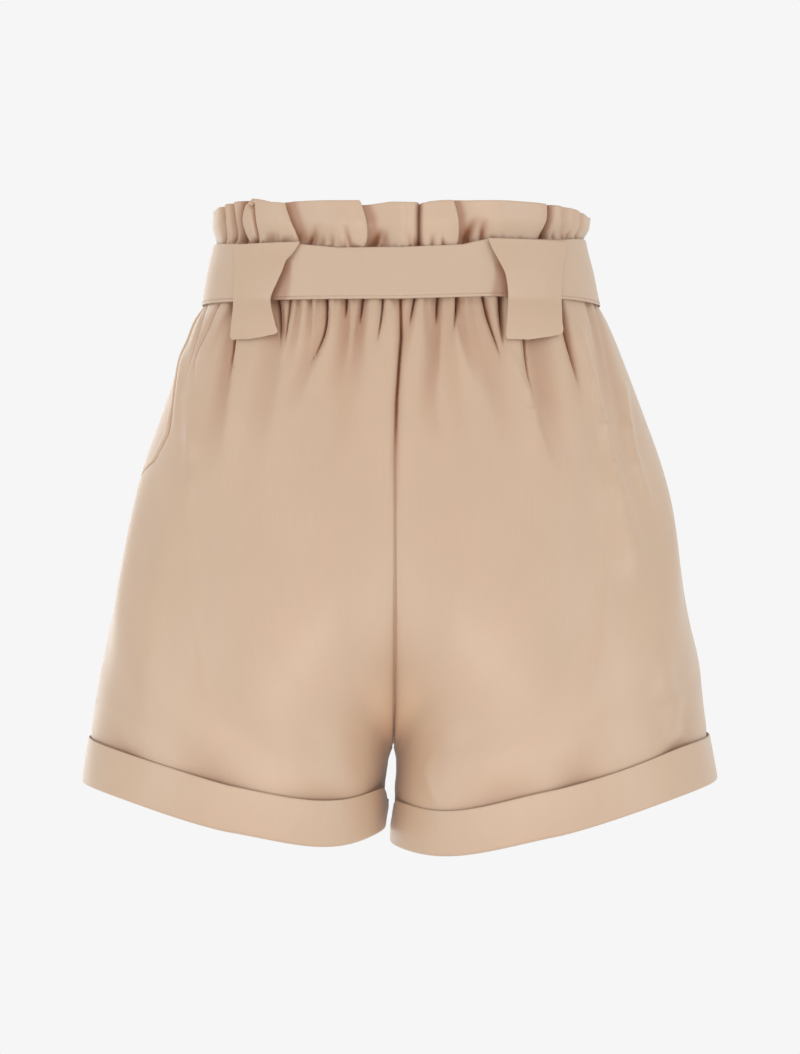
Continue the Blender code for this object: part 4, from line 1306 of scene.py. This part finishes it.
ALL_EDGES = ("top", "bottom", "first", "last")
for side, word in ((LEFT, "left"), (RIGHT, "right")):
    for face, name in ((BACK, "back"), (FRONT, "front")):
        grid, folds = panel_grid(side, face)
        add_piece(f"{name}_{word}", grid, SHELL, SHORTS, surface=1.0, folds=folds)
    grid, folds = cuff_grid(side)
    add_piece(f"cuff_{word}", grid, BAND_CLOTH, SHORTS, closed=True, rounded=("top",), folds=folds)
    add_piece(f"loop_{word}", strip_grid(LOOPS[side], BACK), BELT_CLOTH, SHORTS, rounded=ALL_EDGES)
    grid = strip_grid(mirrored_end(side), FRONT, down=70)
    add_piece(f"belt_end_{word}", grid, BELT_CLOTH, BELT, rounded=ALL_EDGES)
add_piece("waistband", waistband_grid(), BAND_CLOTH, SHORTS, closed=True)
grid, folds = frill_grid()
add_piece("frill", grid, FRILL_CLOTH, SHORTS, closed=True, rounded=("top",), folds=folds)
grid, folds = belt_grid()
add_piece("belt", grid, BELT_CLOTH, BELT, closed=True, rounded=("top", "bottom"), folds=folds)
add_piece("belt_knot", knot_grid(), KNOT_CLOTH, BELT, closed=True)

# The belt's edge stitching, just above its lower edge
arcs = np.linspace(0.0, WAIST_LENGTH, 1400)
stitch_points, stitch_out = around_waist(arcs, round_curve(BELT_EDGES, 3, arcs) + STITCH_UP)
thread_row = stitches("belt_stitching", stitch_points + stitch_out * STITCH_OUT, stitch_out, THREAD)

# ---------------------------------------------------------------- stage, light and camera
PAPER = 0.9216
FLOOR_SIZE, FLOOR_Z = 14.0, -4.5
ROOM_RADIUS = 9.0
# The photo's own view: level and square to the back, with this much of the shorts' plane across
CAMERA_AWAY, CAMERA_Z = 2.4, -0.163
FRAME_WIDTH = 0.52
SENSOR_WIDTH = 36.0
LAMP_AIM = Vector((0.0, 0.0, -0.16))


def add_stage():
    """A plain pale floor, and a plain pale room round it. They light nothing: the lamps do."""
    paper = new_material("backdrop", {
        "Base Color": (0.0, 0.0, 0.0, 1.0),
        "Specular IOR Level": 0.0,
        "Roughness": 1.0,
        "Emission Color": (1.0, 1.0, 1.0, 1.0),
        "Emission Strength": PAPER,
    })[0]
    for name in ("floor", "room"):
        if name == "floor":
            bpy.ops.mesh.primitive_plane_add(size=FLOOR_SIZE, location=(0.0, 0.0, FLOOR_Z))
        else:
            bpy.ops.mesh.primitive_uv_sphere_add(segments=48, ring_count=24, radius=ROOM_RADIUS)
        stand = bpy.context.object
        stand.name = name
        stand.data.materials.append(paper)
        stand.visible_diffuse = False
        stand.visible_glossy = False
        stand.visible_transmission = False
        stand.visible_shadow = False


def add_lamp(name, place, size, power, colour):
    lamp = bpy.data.lights.new(name, "AREA")
    lamp.shape = "RECTANGLE"
    lamp.size, lamp.size_y = size
    lamp.energy = power
    lamp.color = colour
    stand = link_object(name, lamp)
    stand.location = place
    stand.visible_camera = False
    stand.rotation_euler = (LAMP_AIM - Vector(place)).to_track_quat("-Z", "Y").to_euler()


def add_camera():
    camera = bpy.data.cameras.new("camera")
    camera.sensor_fit = "HORIZONTAL"
    camera.sensor_width = SENSOR_WIDTH
    camera.lens = SENSOR_WIDTH * CAMERA_AWAY / FRAME_WIDTH
    camera.clip_end = 40.0
    stand = link_object("camera", camera)
    stand.location = (0.0, CAMERA_AWAY, CAMERA_Z)
    stand.rotation_euler = (math.pi / 2, 0.0, math.pi)
    bpy.context.scene.camera = stand


add_stage()
#         name     place               size        power  colour
LAMPS = (
    ("left", (1.75, 1.35, -0.25), (1.1, 1.8), 7.5, (0.80, 1.0, 1.08)),
    ("right", (-1.75, 1.35, -0.25), (1.1, 1.8), 7.8, (0.78, 1.0, 1.10)),
    ("low", (0.0, 2.0, -0.75), (1.0, 0.5), 6.4, (0.98, 0.88, 0.84)),
    ("top", (0.0, -0.4, 2.4), (2.4, 1.6), 5.0, (1.0, 0.98, 0.95)),
    ("front", (0.9, -2.3, 0.3), (1.6, 1.8), 13.0, (1.0, 0.98, 0.95)),
)
for name, place, size, power, colour in LAMPS:
    add_lamp(name, place, size, power, colour)
world = bpy.data.worlds.new("studio")
world.use_nodes = True
background = world.node_tree.nodes["Background"]
feed(world.node_tree, background, {"Color": (1.0, 0.975, 0.94, 1.0), "Strength": 0.78})
bpy.context.scene.world = world
bpy.context.scene.view_settings.view_transform = "Standard"
add_camera()
